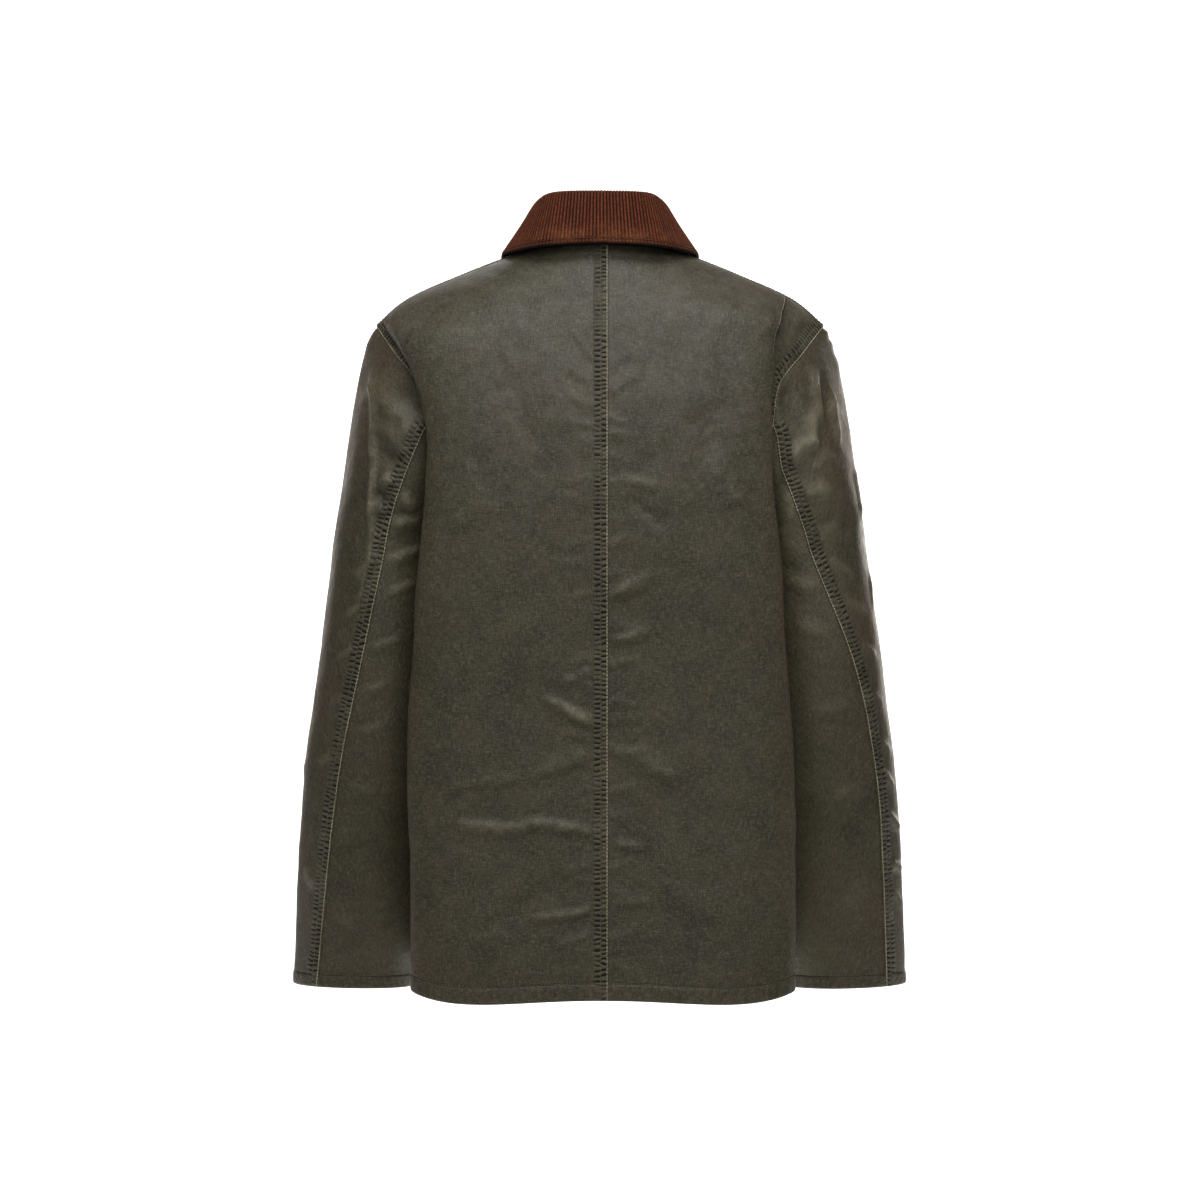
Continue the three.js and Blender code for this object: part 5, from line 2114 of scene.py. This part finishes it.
@dataclass
class Body:
    """The two backs and the two fronts."""

    shop: Wardrobe
    pitch: float = 2.7 * MM
    front_coarser: float = 1.6
    closer_across: float = 0.94
    gap: float = 0.0012

    def __post_init__(self) -> None:
        """Makes the worn forms with their creases."""
        behind = Relief(BACK_CREASES + centre_ripples(), swell=0.95, crinkle=0.2, seed=3)
        ahead = Relief(FRONT_CREASES, swell=1.0, crinkle=0.2, seed=4)
        self.backs = {side: HalfBody(side, True, behind) for side in Side}
        self.fronts = {side: Overlap(side, False, ahead, upper=side is Side.RIGHT) for side in Side}

    def tint(self, u: Array, v: Array) -> Array:
        """Says where the cloth is painted brown: along the turn to the side and towards the armhole, as
        painted rim light, and at the hem, as browned cloth.

        Args:
            u: places up the form.
            v: places across it.

        Returns:
            0 where it is green, up to 1 where it is brown.
        """
        turn = np.exp(-(((v - 1.0) / 0.16) ** 2)) * (0.5 + 0.5 * smooth((7 - u) / 4))
        hem = smooth((0.5 - u) / 0.5)
        top = smooth((u - 9) / 3) * smooth((v - 0.9) / 0.5)
        return np.clip(0.22 + 0.75 * turn + 0.35 * hem + 0.7 * top, 0, 1)

    def panel(self, node: str, form: HalfBody, marks: Sequence[float], flat: tuple, area: float) -> None:
        """Makes one panel.

        Args:
            node: the solid that it stands for.
            form: its worn form.
            marks: places across the form, from its one edge to the other.
            flat: its size laid flat, in metres.
            area: its area in square metres.
        """
        rows = np.arange(0, NECK + 1, dtype=float)
        pitch = self.pitch * self.shop.coarse * (1.0 if form.is_back else self.front_coarser)
        u = filled_out(rows, spread(form, rows, np.linspace(marks[0], marks[-1], 9), pitch, 0))
        v = filled_out(marks, spread(form, rows, np.array(marks, dtype=float), pitch * self.closer_across, 1))
        grid_u, grid_v = np.meshgrid(u, v, indexing="ij")
        outer, normals, rub = form.cloth(grid_u, grid_v)
        tint = self.tint(grid_u, np.abs(grid_v))
        inner = underside(outer, normals)
        made = wall(f"{node}_cloth", outer, inner, self.shop.shell, worn=rub, tint=tint)
        self.shop.cloth.add(outer)
        self.shop.keep(made, "shell", node)
        self.shop.sheets[node] = (made, flat, area, "hung")

    def make(self) -> None:
        """Makes the four panels."""
        for side in Side:
            seam = 2 - self.gap
            back = [self.gap, 0.5, 1, 1.5, seam]
            front = [-1, 0, 0.5, 1, 1.5, seam]
            self.panel(f"back_{side.word}", self.backs[side], back, (0.282, 0.73), 0.186)
            self.panel(f"front_{side.word}", self.fronts[side], front, (0.287, 0.72), 0.177)


@dataclass
class Sleeve:
    """A two-piece sleeve."""

    shop: Wardrobe
    side: Side
    pitch: float = 3.3 * MM
    wide_top: float = 205 * MM
    wide_under: float = 172 * MM
    gap: float = 0.15

    def __post_init__(self) -> None:
        """Makes the worn form with its creases."""
        creases = SLEEVE_CREASES_LEFT if self.side is Side.LEFT else SLEEVE_CREASES_RIGHT
        self.form = SleeveForm(self.side, Relief(creases, swell=1.0, crinkle=0.2, seed=7 + self.side.sign))

    def tint(self, u: Array, v: Array) -> Array:
        """Says where the cloth is painted brown: along the outer side, from the cap down, as painted rim
        light, and at the cuff, as browned cloth.

        Args:
            u: places down the sleeve.
            v: angles round it.

        Returns:
            0 where it is green, up to 1 where it is brown.
        """
        turned = (v + 180) % 360 - 180
        outer = np.exp(-(((turned - 18) / 46) ** 2))
        return np.clip(0.3 + 0.7 * outer + 0.3 * smooth((u - 4.6) / 0.4), 0, 1)

    def paled(self, u: Array, v: Array) -> Array:
        """Says where the cloth is painted paler over a broad area: inside the back seam, as painted light
        where the sleeve lies in shade, and round its top, as painted highlight.

        Args:
            u: places down the sleeve.
            v: angles round it.

        Returns:
            How much paler it is painted.
        """
        inner, upper = (0.36, 0.12) if self.side is Side.RIGHT else (0.2, 0.05)
        inside = np.exp(-(((v - 140) / 52) ** 2)) * inner
        return inside + smooth((2.6 - u) / 1.4) * np.exp(-(((v - 75) / 42) ** 2)) * upper

    def panel(self, top: bool) -> None:
        """Makes one of the two pieces.

        Args:
            top: whether it is the top one.
        """
        rows = np.concatenate([np.linspace(0.003, 1, 7), np.arange(2, 2 + RINGS.last)]).astype(float)
        pitch = self.pitch * self.shop.coarse
        wide = np.linspace(-100, 90, 9) if top else np.linspace(90, 260, 9)
        u = filled_out(rows, spread(self.form, rows, wide, pitch, 0))
        columns = int((self.wide_top if top else self.wide_under) / pitch)
        share = np.linspace(0, 1, columns + 1)[None, :]
        back, front = self.form.seams(u)
        start, end = (front, back) if top else (back, front + 360)
        v = (start + self.gap)[:, None] * (1 - share) + (end - self.gap)[:, None] * share
        grid_u = u[:, None] + 0 * v
        outer, normals, rub = self.form.cloth(grid_u, v)
        # broad patches painted paler: painted light inside the sleeve, and a painted highlight round its top
        rub = np.clip(rub + self.paled(grid_u, v), -1, 1)
        name = f"sleeve_{'top' if top else 'under'}_{self.side.word}"
        tint = self.tint(grid_u, v)
        inner = underside(outer, normals)
        made = wall(f"{name}_cloth", outer, inner, self.shop.shell, worn=rub, tint=tint)
        self.shop.cloth.add(outer)
        self.shop.keep(made, "shell", name)
        flat, area = ((0.206, 0.662), 0.113) if top else ((0.19, 0.574), 0.094)
        self.shop.sheets[name] = (made, flat, area, "hung")

    def make(self) -> None:
        """Makes both pieces."""
        self.panel(True)
        self.panel(False)

    def seam(self, behind: bool) -> tuple[Array, Array, Array]:
        """Follows one of the two seams.

        Args:
            behind: whether it is the back one.

        Returns:
            Points, normals, and the way towards the top piece.
        """
        u = np.linspace(0.004, 1 + RINGS.last, 500)
        angle = self.form.seams(u)[0 if behind else 1]
        return self.form.run(u, angle, (u, angle + (-9 if behind else 9)))

    def cuff(self) -> tuple[Array, Array, Array]:
        """Points, normals and upward directions round the cuff."""
        v, end = np.linspace(0, 360, 240, endpoint=False), 1.0 + RINGS.last
        return self.form.run(end, v, (end - 0.1, v))


@dataclass
class Sewing:
    """The felled seams, the turned hems and their stitching."""

    shop: Wardrobe
    body: Body
    sleeves: dict[Side, Sleeve]
    lines: list[tuple[Array, Array]] = field(default_factory=list)
    dark_lines: list[tuple[Array, Array]] = field(default_factory=list)

    def fell(self, seam: FelledSeam, panel: str) -> None:
        """Lays a felled seam on the cloth, and keeps its rows of stitching for later.

        Args:
            seam: the seam.
            panel: the solid whose sheet it is sewn on.
        """
        seam.step *= self.shop.coarse
        made, laid = seam.make(self.shop.cloth, self.shop.shell)
        self.shop.lay_on(panel, self.shop.keep(made, "shell"))
        if seam.stitched:
            self.lines.append(laid.row(seam.rows[0], 0.3 * MM))
            self.dark_lines.append(laid.row(seam.rows[1], 0.1 * MM))

    def hem(self, hem: TurnedHem, panel: str) -> None:
        """Lays a turned hem on the cloth, and keeps its row of stitching for later.

        Args:
            hem: the hem.
            panel: the solid whose sheet it is sewn on.
        """
        hem.step *= self.shop.coarse
        made, laid = hem.make(self.shop.cloth, self.shop.shell)
        self.shop.lay_on(panel, self.shop.keep(made, "shell"))
        self.dark_lines.append(laid.row(hem.depth, 0.12 * MM))

    def centre_back(self) -> None:
        """The centre back seam: the left back lies over the right one."""
        u = np.linspace(0, NECK, 500)
        run = self.body.backs[Side.LEFT].run(u, 0, (u, 0.2))
        self.fell(FelledSeam("fell_centre_back", *run, edge=-8.0), "back_left")

    def side_seams(self) -> None:
        """The side seams and the shoulder seams."""
        for side in Side:
            back, front = self.body.backs[side], self.body.fronts[side]
            u = np.linspace(0, UNDERARM - 0.05, 300)
            seam = FelledSeam(f"fell_side_{side.word}", *back.run(u, 2.0, (u, 1.8)))
            seam.pucker = Pucker(depth=0.4, seed=21)
            self.fell(seam, f"back_{side.word}")
            u = np.linspace(SHOULDER, NECK, 160)
            seam = FelledSeam(f"fell_shoulder_{side.word}", *back.run(u, 2.0, (u, 1.8), front))
            seam.pucker = Pucker(depth=0.35, seed=22)
            self.fell(seam, f"back_{side.word}")

    def armholes(self) -> None:
        """The armhole seams: the body lies over the sleeve."""
        for side in Side:
            up = np.linspace(UNDERARM, SHOULDER, 300)
            down = up[::-1][1:-1]
            behind = self.body.backs[side].run(up, 2.0, (up, 1.86))
            ahead = self.body.fronts[side].run(down, 2.0, (down, 1.86))
            run = (np.vstack(parts) for parts in zip(behind, ahead))
            seam = FelledSeam(f"fell_armhole_{side.word}", *run, closed=True, rise=0.75)
            seam.pucker = Pucker(pitch=5.2, seed=23)
            self.fell(seam, f"back_{side.word}")

    def sleeve_seams(self) -> None:
        """The back seam of each sleeve is felled, and the front one is plain."""
        for side, sleeve in self.sleeves.items():
            seam = FelledSeam(f"fell_sleeve_{side.word}", *sleeve.seam(True))
            seam.pucker = Pucker(pitch=4.8, seed=24 + side.sign)
            self.fell(seam, f"sleeve_top_{side.word}")
            plain = FelledSeam(f"seam_sleeve_{side.word}", *sleeve.seam(False), rise=0.35, stitched=False)
            plain.pucker = Pucker(pitch=8.0, depth=0.1, seed=27)
            self.fell(plain, f"sleeve_top_{side.word}")

    def hems(self) -> None:
        """The hem of the body, the cuffs, and the edge of the upper front."""
        right, left = self.body.fronts[Side.RIGHT], self.body.fronts[Side.LEFT]
        parts = [
            (right, -1, 2, 260),
            (self.body.backs[Side.RIGHT], 2, 0, 260),
            (self.body.backs[Side.LEFT], 0, 2, 260),
            (left, 2, 0.11, 240),
        ]
        runs = []
        for form, start, end, count in parts:
            v = np.linspace(start, end, count)[1 if runs else 0 :]
            runs.append(form.run(0.0, v, (0.2, v)))
        self.hem(TurnedHem("hem_body", *(np.vstack(rows) for rows in zip(*runs))), "back_right")
        for side, sleeve in self.sleeves.items():
            hem = TurnedHem(f"hem_cuff_{side.word}", *sleeve.cuff(), depth=12.8, closed=True)
            hem.pucker = Pucker(pitch=8.0, depth=0.2, slant=0.5, seed=31 + side.sign)
            self.hem(hem, f"sleeve_under_{side.word}")
        u = np.linspace(0.02, NECK - 0.05, 400)
        edge = TurnedHem("edge_front", *right.run(u, -1.0, (u, -0.2)), depth=8.0, rise=0.7)
        edge.pucker = Pucker(pitch=7.0, depth=0.2, slant=0.4, seed=33)
        self.hem(edge, "front_right")

    def make(self) -> None:
        """Lays every seam and hem, and sews them."""
        self.shop.cloth.close()
        self.centre_back()
        self.side_seams()
        self.armholes()
        self.sleeve_seams()
        self.hems()
        short = Topstitch(length=2.5 * MM, thick=0.62 * MM)
        pale = Topstitch().sew("topstitch_tan", self.lines, self.shop.thread)
        dark = short.sew("topstitch_olive", self.dark_lines, self.shop.dark_thread)
        for made in (pale, dark):
            self.shop.lay_on("back_left", self.shop.keep(made, "shell"))


@dataclass
class Collar:
    """The folded collar: a band of corduroy over a backing of dark twill."""

    shop: Wardrobe
    wale: float = 3.2
    pile: float = 0.85
    ground: float = 0.95
    inset: float = 5.0
    twill: float = 1.2
    form: CollarForm = field(default_factory=CollarForm)

    # how far across the crest begins and ends, for closer rows there
    marks = (0, 0.36, 0.5, 1)

    def stations(self, per_wale: int) -> tuple[Array, Array]:
        """Divides the collar from end to end, with the same number of steps to every wale.

        Args:
            per_wale: that number.

        Returns:
            The stations, and their places counted in wales.
        """
        u = np.linspace(-1, 1, 401)
        line = self.form.smooth_points(u, np.full_like(u, 0.72))
        far = lengths(line[:, None], 0)[:, 0] / MM
        wales = int(round(far[-1] / self.wale))
        places = np.linspace(0, wales, wales * per_wale + 1)
        return np.interp(places / wales * far[-1], far, u), places

    def face(self) -> Object:
        """Makes the corduroy, with its wales.

        Returns:
            The piece.
        """
        u, wales = self.stations(5 if self.shop.coarse == 1 else 3)
        v = filled_out(self.marks, (16, 14, 26))
        grid_v, grid_u = np.meshgrid(v, u, indexing="ij")
        middle, normals, _ = self.form.cloth(grid_u, grid_v)
        row = lengths(middle, 0)
        to_edge = (row[-1:] - row) / MM
        to_end = np.minimum(lengths(middle, 1), lengths(middle[:, ::-1], 1)[:, ::-1]) / MM
        chance = np.random.default_rng(41)
        index = np.floor(np.clip(wales, 0, wales[-1] - 1e-6)).astype(int)
        tall = chance.uniform(0.82, 1.0, index.max() + 1)[index]
        phase = wales - np.floor(wales)
        ridge = np.sin(np.pi * phase) ** 0.8 * tall
        sewn = 1 - 0.75 * np.exp(-((np.minimum(to_edge, to_end) - self.inset) ** 2) / 0.9)
        rim = smooth(np.minimum(to_edge, to_end) / 1.6) * 0.6 + 0.4
        fuzz = Lattice(43).at(middle, 0.0022)
        # pile also sets the colour: the finish paints low pile darker, as painted shade, so the grooves, the
        # stitching line and the edges are painted darker
        pile = ridge[None, :] * sewn * rim * (1 + 0.12 * fuzz)
        height = SEAM_GAP / 2 + (self.ground + self.pile * pile) * MM
        outer = middle + normals * height[..., None]
        low = np.exp(-(((to_edge - 9) / 9.0) ** 2)) * (0.35 + 0.65 * np.exp(-((middle[..., 0] / 0.045) ** 2)))
        crest = 0.35 * np.exp(-(((grid_v - 0.44) / 0.05) ** 2))
        inner = middle + normals * (SEAM_GAP / 2)
        worn = np.clip(low + crest, 0, 1)
        return wall("collar_corduroy", outer, inner, self.shop.corduroy, pile=pile, worn=worn)

    def backing(self) -> Object:
        """Makes the twill under the corduroy.

        Returns:
            The piece.
        """
        u, v = np.linspace(-1, 1, 161), filled_out(self.marks, (12, 10, 16))
        grid_v, grid_u = np.meshgrid(v, u, indexing="ij")
        middle, normals, _ = self.form.cloth(grid_u, grid_v)
        inner = middle - normals * (SEAM_GAP / 2)
        outer = middle - normals * (SEAM_GAP / 2 + self.twill * MM)
        return wall("collar_backing", outer, inner, self.shop.twill)

    def stitching(self) -> Object:
        """Sews round the free edge and the ends.

        Returns:
            The piece.
        """
        u = np.linspace(-1, 1, 300)
        line = self.form.sections(u)
        total = lengths(line, 1)[:, -1]
        reach = 0.012
        along = (u > -1 + reach) & (u < 1 - reach)
        edge_u, edge_v = u[along], 1 - self.inset * MM / total[along]
        up = np.linspace(0.06, edge_v[0], 40)
        path_u = np.concatenate([np.full(40, edge_u[0]), edge_u[1:-1], np.full(40, edge_u[-1])])
        path_v = np.concatenate([up, edge_v[1:-1], up[::-1]])
        points, normals, _ = self.form.cloth(path_u, path_v)
        points = points + normals * (SEAM_GAP / 2 + 1.45 * MM)
        return Topstitch(thick=0.7 * MM).sew("topstitch_collar", [(points, normals)], self.shop.rust_thread)

    def make(self) -> None:
        """Makes the collar."""
        face = self.shop.keep(self.face(), "collar", "collar_top")
        backing = self.shop.keep(self.backing(), "collar_backing", "collar_under")
        self.shop.lay_on("collar_top", self.shop.keep(self.stitching(), "collar"))
        self.shop.sheets["collar_top"] = (face, (0.631, 0.126), 0.057, "folded")
        self.shop.sheets["collar_under"] = (backing, (0.62, 0.124), 0.056, "folded")


@dataclass
class Buttons:
    """Five buttons down the upper front, each sewn on through its four holes and in a worked buttonhole."""

    shop: Wardrobe
    count: int = 5
    from_base: float = 1.7 * MM
    hole: float = 1.63 * MM
    strand: float = 0.42 * MM
    slit: tuple[float, float] = (-21 * MM, 3 * MM)
    stitch: float = 1.5 * MM
    pitch: float = 0.56 * MM

    def dress(self, button: Object) -> Matrix:
        """Gives a button its finish, and finds how it sits.

        Args:
            button: the button.

        Returns:
            Its middle, with its face along Z and its row of holes along X.
        """
        for slot in button.material_slots:
            slot.link = "OBJECT"
            slot.material = self.shop.horn
        points = np.array([vertex.co for vertex in button.data.vertices])
        out = np.linalg.svd(points - points.mean(axis=0), full_matrices=False)[2][2]
        out = out * -np.sign(out[1])
        return self.turned((points.min(axis=0) + points.max(axis=0)) / 2, np.array([1.0, 0, 0]), out)

    def turned(self, middle: Array, across: Array, out: Array) -> Matrix:
        """Works out the place of something that is turned.

        Args:
            middle: its middle.
            across: the direction of its X.
            out: the direction of its Z.

        Returns:
            Its place.
        """
        up = unit(np.cross(out, across))
        turn = Matrix(np.stack([np.cross(up, out), up, out], axis=1).tolist())
        return Matrix.Translation(Vector(middle)) @ turn.to_4x4()

    def joined(self, parts: list[Object], name: str, place: Matrix) -> Object:
        """Joins parts that were made at the origin and puts them in their place.

        Args:
            parts: the parts.
            name: the name of the piece that they become.
            place: where it goes.

        Returns:
            The piece.
        """
        bpy.ops.object.select_all(action="DESELECT")
        for part in parts:
            part.select_set(True)
        bpy.context.view_layer.objects.active = parts[0]
        if len(parts) > 1:
            bpy.ops.object.join()
        made = bpy.context.object
        made.name = name
        bpy.ops.object.transform_apply(location=True, rotation=True, scale=True)
        made.matrix_world = place
        bpy.ops.object.transform_apply(location=True, rotation=True, scale=True)
        bpy.ops.object.shade_smooth()
        return made

    def sew_on(self, name: str, place: Matrix) -> Object:
        """Makes two doubled loops of thread, each through two of the four holes.

        Args:
            name: the piece's name.
            place: the button's middle.

        Returns:
            The piece.
        """
        loops = []
        for row in (-1, 1):
            for strand in (-0.9, 0.9):
                bpy.ops.object.select_all(action="DESELECT")
                bpy.ops.mesh.primitive_torus_add(
                    major_radius=self.hole,
                    minor_radius=self.strand,
                    major_segments=20,
                    minor_segments=6,
                    location=(0, row * self.hole + strand * self.strand, -0.6 * MM),
                    rotation=(math.radians(90), 0, 0),
                )
                bpy.context.object.data.materials.append(self.shop.dark_thread)
                loops.append(bpy.context.object)
        return self.joined(loops, name, place)

    def stitches(self, place: tuple, along: bool, runs: Sequence[tuple[int, tuple]]) -> Object:
        """One short thread, repeated by array modifiers.

        Args:
            place: the first one's middle.
            along: whether it lies along X, and not along Y.
            runs: how many, and how far apart, for each modifier.

        Returns:
            The object.
        """
        turn = (0, math.radians(90), 0) if along else (math.radians(90), 0, 0)
        bpy.ops.object.select_all(action="DESELECT")
        bpy.ops.mesh.primitive_cylinder_add(
            vertices=6, radius=self.pitch * 0.54, depth=self.stitch, location=place, rotation=turn
        )
        bpy.ops.object.transform_apply(location=False, rotation=True, scale=True)
        made = bpy.context.object
        for count, step in runs:
            bpy.ops.object.modifier_add(type="ARRAY")
            array = made.modifiers[-1]
            array.count, array.use_relative_offset, array.use_constant_offset = count, False, True
            array.constant_offset_displace = step
            bpy.ops.object.modifier_apply(modifier=array.name)
        made.data.materials.append(self.shop.dark_thread)
        return made

    def buttonhole(self, name: str, place: Matrix) -> Object:
        """Works a buttonhole: close stitches on both sides of its slit, a bar at each end, and a near-black
        strip in the slit, painted as its shade.

        Args:
            name: the piece's name.
            place: its middle.

        Returns:
            The piece.
        """
        long, off = self.slit[1] - self.slit[0], self.stitch / 2 + 0.2 * MM
        count = int(long / self.pitch)
        rows = self.stitches((-long / 2, -off, 0), False, [(count, (self.pitch, 0, 0)), (2, (0, 2 * off, 0))])
        bars = self.stitches(
            (-long / 2 - self.stitch / 2, -off, 0.1 * MM),
            True,
            [(7, (0, off / 3, 0)), (2, (long + self.stitch - self.pitch, 0, 0))],
        )
        bpy.ops.object.select_all(action="DESELECT")
        # a thin strip in the slit, painted near black as the slit's shade
        bpy.ops.mesh.primitive_cube_add(size=1)
        bpy.ops.transform.resize(value=(long, 0.6 * MM, 0.3 * MM))
        dark = bpy.context.object
        dark.data.materials.append(self.shop.shell)
        mark = dark.data.attributes.new("worn", "FLOAT", "POINT")
        mark.data.foreach_set("value", [-1.0] * len(dark.data.vertices))
        return self.joined([rows, bars, dark], name, place)

    def on_cloth(self, x: float, z: float) -> tuple[Array, Array]:
        """Finds the upper front's outer point at a place seen from the front.

        Args:
            x: how far left the place is.
            z: how high it is.

        Returns:
            The point and its outward normal.
        """
        point, normal, _, _ = self.shop.cloth.tree.ray_cast(Vector((x, -0.4, z)), Vector((0, 1, 0)))
        normal = np.array(normal)
        return np.array(point), normal * -np.sign(normal[1])

    def make(self) -> None:
        """Dresses the buttons, sews them on and works their buttonholes."""
        for k in range(1, self.count + 1):
            place = self.dress(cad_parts[f"button_{k}"])
            self.shop.keep(self.sew_on(f"button_thread_{k}", place), "button")
            foot = place @ Vector((0, 0, -self.from_base - 0.6 * MM))
            (inner, normal), (outer, other) = (self.on_cloth(x, foot.z) for x in self.slit)
            out = unit(normal + other)
            lie = self.turned((inner + outer) / 2 + out * 0.5 * MM, unit(outer - inner), out)
            hole = self.shop.keep(self.buttonhole(f"buttonhole_{k}", lie), "shell")
            self.shop.lay_on("front_right", hole)


# ------------------------------------------------------------------ studio
@dataclass
class Studio:
    """A pale seamless sweep, soft lights and the camera."""

    shop: Wardrobe
    floor: float = -1.05
    near: float = 0.1
    far: float = -3.4
    wide: float = 2.9
    tall: float = 2.6
    distance: float = 2.915
    height: float = -0.34
    lens: float = 89.4

    def sweep(self) -> None:
        """Makes the floor that curves up into the backdrop, as wide as the camera sees and no wider."""
        bpy.ops.object.select_all(action="DESELECT")
        bpy.ops.mesh.primitive_plane_add(size=1, location=(0, (self.near + self.far) / 2, self.floor))
        sweep = bpy.context.object
        sweep.name = "studio_sweep"
        bpy.ops.transform.resize(value=(self.wide, self.near - self.far, 1))
        bpy.ops.object.transform_apply(location=True, rotation=True, scale=True)
        self.select(sweep, lambda ends: all(p.y < self.far + 0.01 for p in ends))
        bpy.ops.mesh.extrude_region_move(TRANSFORM_OT_translate={"value": (0, 0, self.tall)})
        bpy.ops.object.mode_set(mode="OBJECT")
        self.select(sweep, lambda ends: all(p.y < self.far + 0.01 and p.z < self.floor + 0.01 for p in ends))
        bpy.ops.mesh.bevel(offset=1.2, segments=20, affect="EDGES")
        bpy.ops.object.mode_set(mode="OBJECT")
        bpy.ops.object.shade_smooth()
        sweep.data.materials.append(self.shop.paper)
        sweep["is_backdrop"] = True

    def select(self, made: Object, wanted: Callable[[list], bool]) -> None:
        """Goes into edit mode with some edges selected.

        Args:
            made: the object.
            wanted: whether an edge is selected that has these ends.
        """
        bpy.ops.object.mode_set(mode="EDIT")
        bpy.ops.mesh.select_mode(type="EDGE")
        bpy.ops.mesh.select_all(action="DESELECT")
        bpy.ops.object.mode_set(mode="OBJECT")
        for edge in made.data.edges:
            edge.select = wanted([made.data.vertices[k].co for k in edge.vertices])
        bpy.ops.object.mode_set(mode="EDIT")

    def light(self, name: str, place: tuple, target: tuple, size: tuple, power: float, colour: str) -> None:
        """Adds a soft box.

        Args:
            name: its name.
            place: where it stands.
            target: the point that it is turned towards.
            size: its width and its height.
            power: its power in watts.
            colour: its colour.
        """
        data = bpy.data.lights.new(name, "AREA")
        data.shape, data.size, data.size_y = "RECTANGLE", *size
        data.energy, data.color = power, linear(colour)[:3]
        lamp = bpy.data.objects.new(name, data)
        lamp.location = place
        lamp.rotation_euler = (Vector(target) - Vector(place)).to_track_quat("-Z", "Y").to_euler()
        bpy.context.scene.collection.objects.link(lamp)

    def lights(self) -> None:
        """A key from high behind the camera, one soft box overhead, two weak fills, and a dim surround.

        One strip for each side and one light for the front itself stand in front.
        """
        white, warm = "#ffffff", "#fff6ec"
        self.light("key", (-0.2, 2.3, 1.0), (0, 0, -0.4), (1.2, 0.8), 14, white)
        self.light("top", (0.0, 1.15, 1.9), (0, 0, -0.12), (1.8, 0.8), 27, white)
        self.light("fill_right", (-1.1, 2.7, -0.5), (0, 0, -0.5), (0.8, 1.2), 4, white)
        self.light("fill_left", (1.1, 2.7, -0.1), (0, 0, -0.4), (0.8, 1.2), 5, white)
        self.light("side_left", (1.7, -2.4, 0.1), (0.2, 0, -0.4), (0.8, 1.4), 9, warm)
        self.light("side_right", (-1.7, -2.4, 0.1), (-0.2, 0, -0.4), (0.8, 1.4), 22, warm)
        self.light("front", (0.3, -2.0, 1.6), (0, 0, -0.3), (1.4, 0.8), 8, white)
        world = bpy.data.worlds.new("surround")
        world.use_nodes = True
        world.node_tree.nodes["Background"].inputs["Color"].default_value = linear(white)
        world.node_tree.nodes["Background"].inputs["Strength"].default_value = 0.15
        bpy.context.scene.world = world

    def camera(self) -> None:
        """Sets the camera level behind the jacket."""
        data = bpy.data.cameras.new("camera")
        data.lens, data.sensor_width = self.lens, 36
        data.clip_end = 50
        camera = bpy.data.objects.new("camera", data)
        camera.location = (0, self.distance, self.height)
        camera.rotation_euler = (math.radians(90), 0, math.radians(180))
        bpy.context.scene.collection.objects.link(camera)
        bpy.context.scene.camera = camera

    def make(self) -> None:
        """Sets the scene."""
        self.sweep()
        self.lights()
        self.camera()
        bpy.context.scene.view_settings.view_transform = "Standard"


def main() -> None:
    """Builds the jacket and the studio."""
    shop = Wardrobe.filled()
    body = Body(shop)
    body.make()
    sleeves = {side: Sleeve(shop, side) for side in Side}
    for sleeve in sleeves.values():
        sleeve.make()
    Sewing(shop, body, sleeves).make()
    Collar(shop).make()
    Buttons(shop).make()
    shop.declare()
    Studio(shop).make()
    plain = [[[float(x) for x in corner] for corner in box] for box in (cad_box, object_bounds())]


if __name__ == "__main__":
    main()
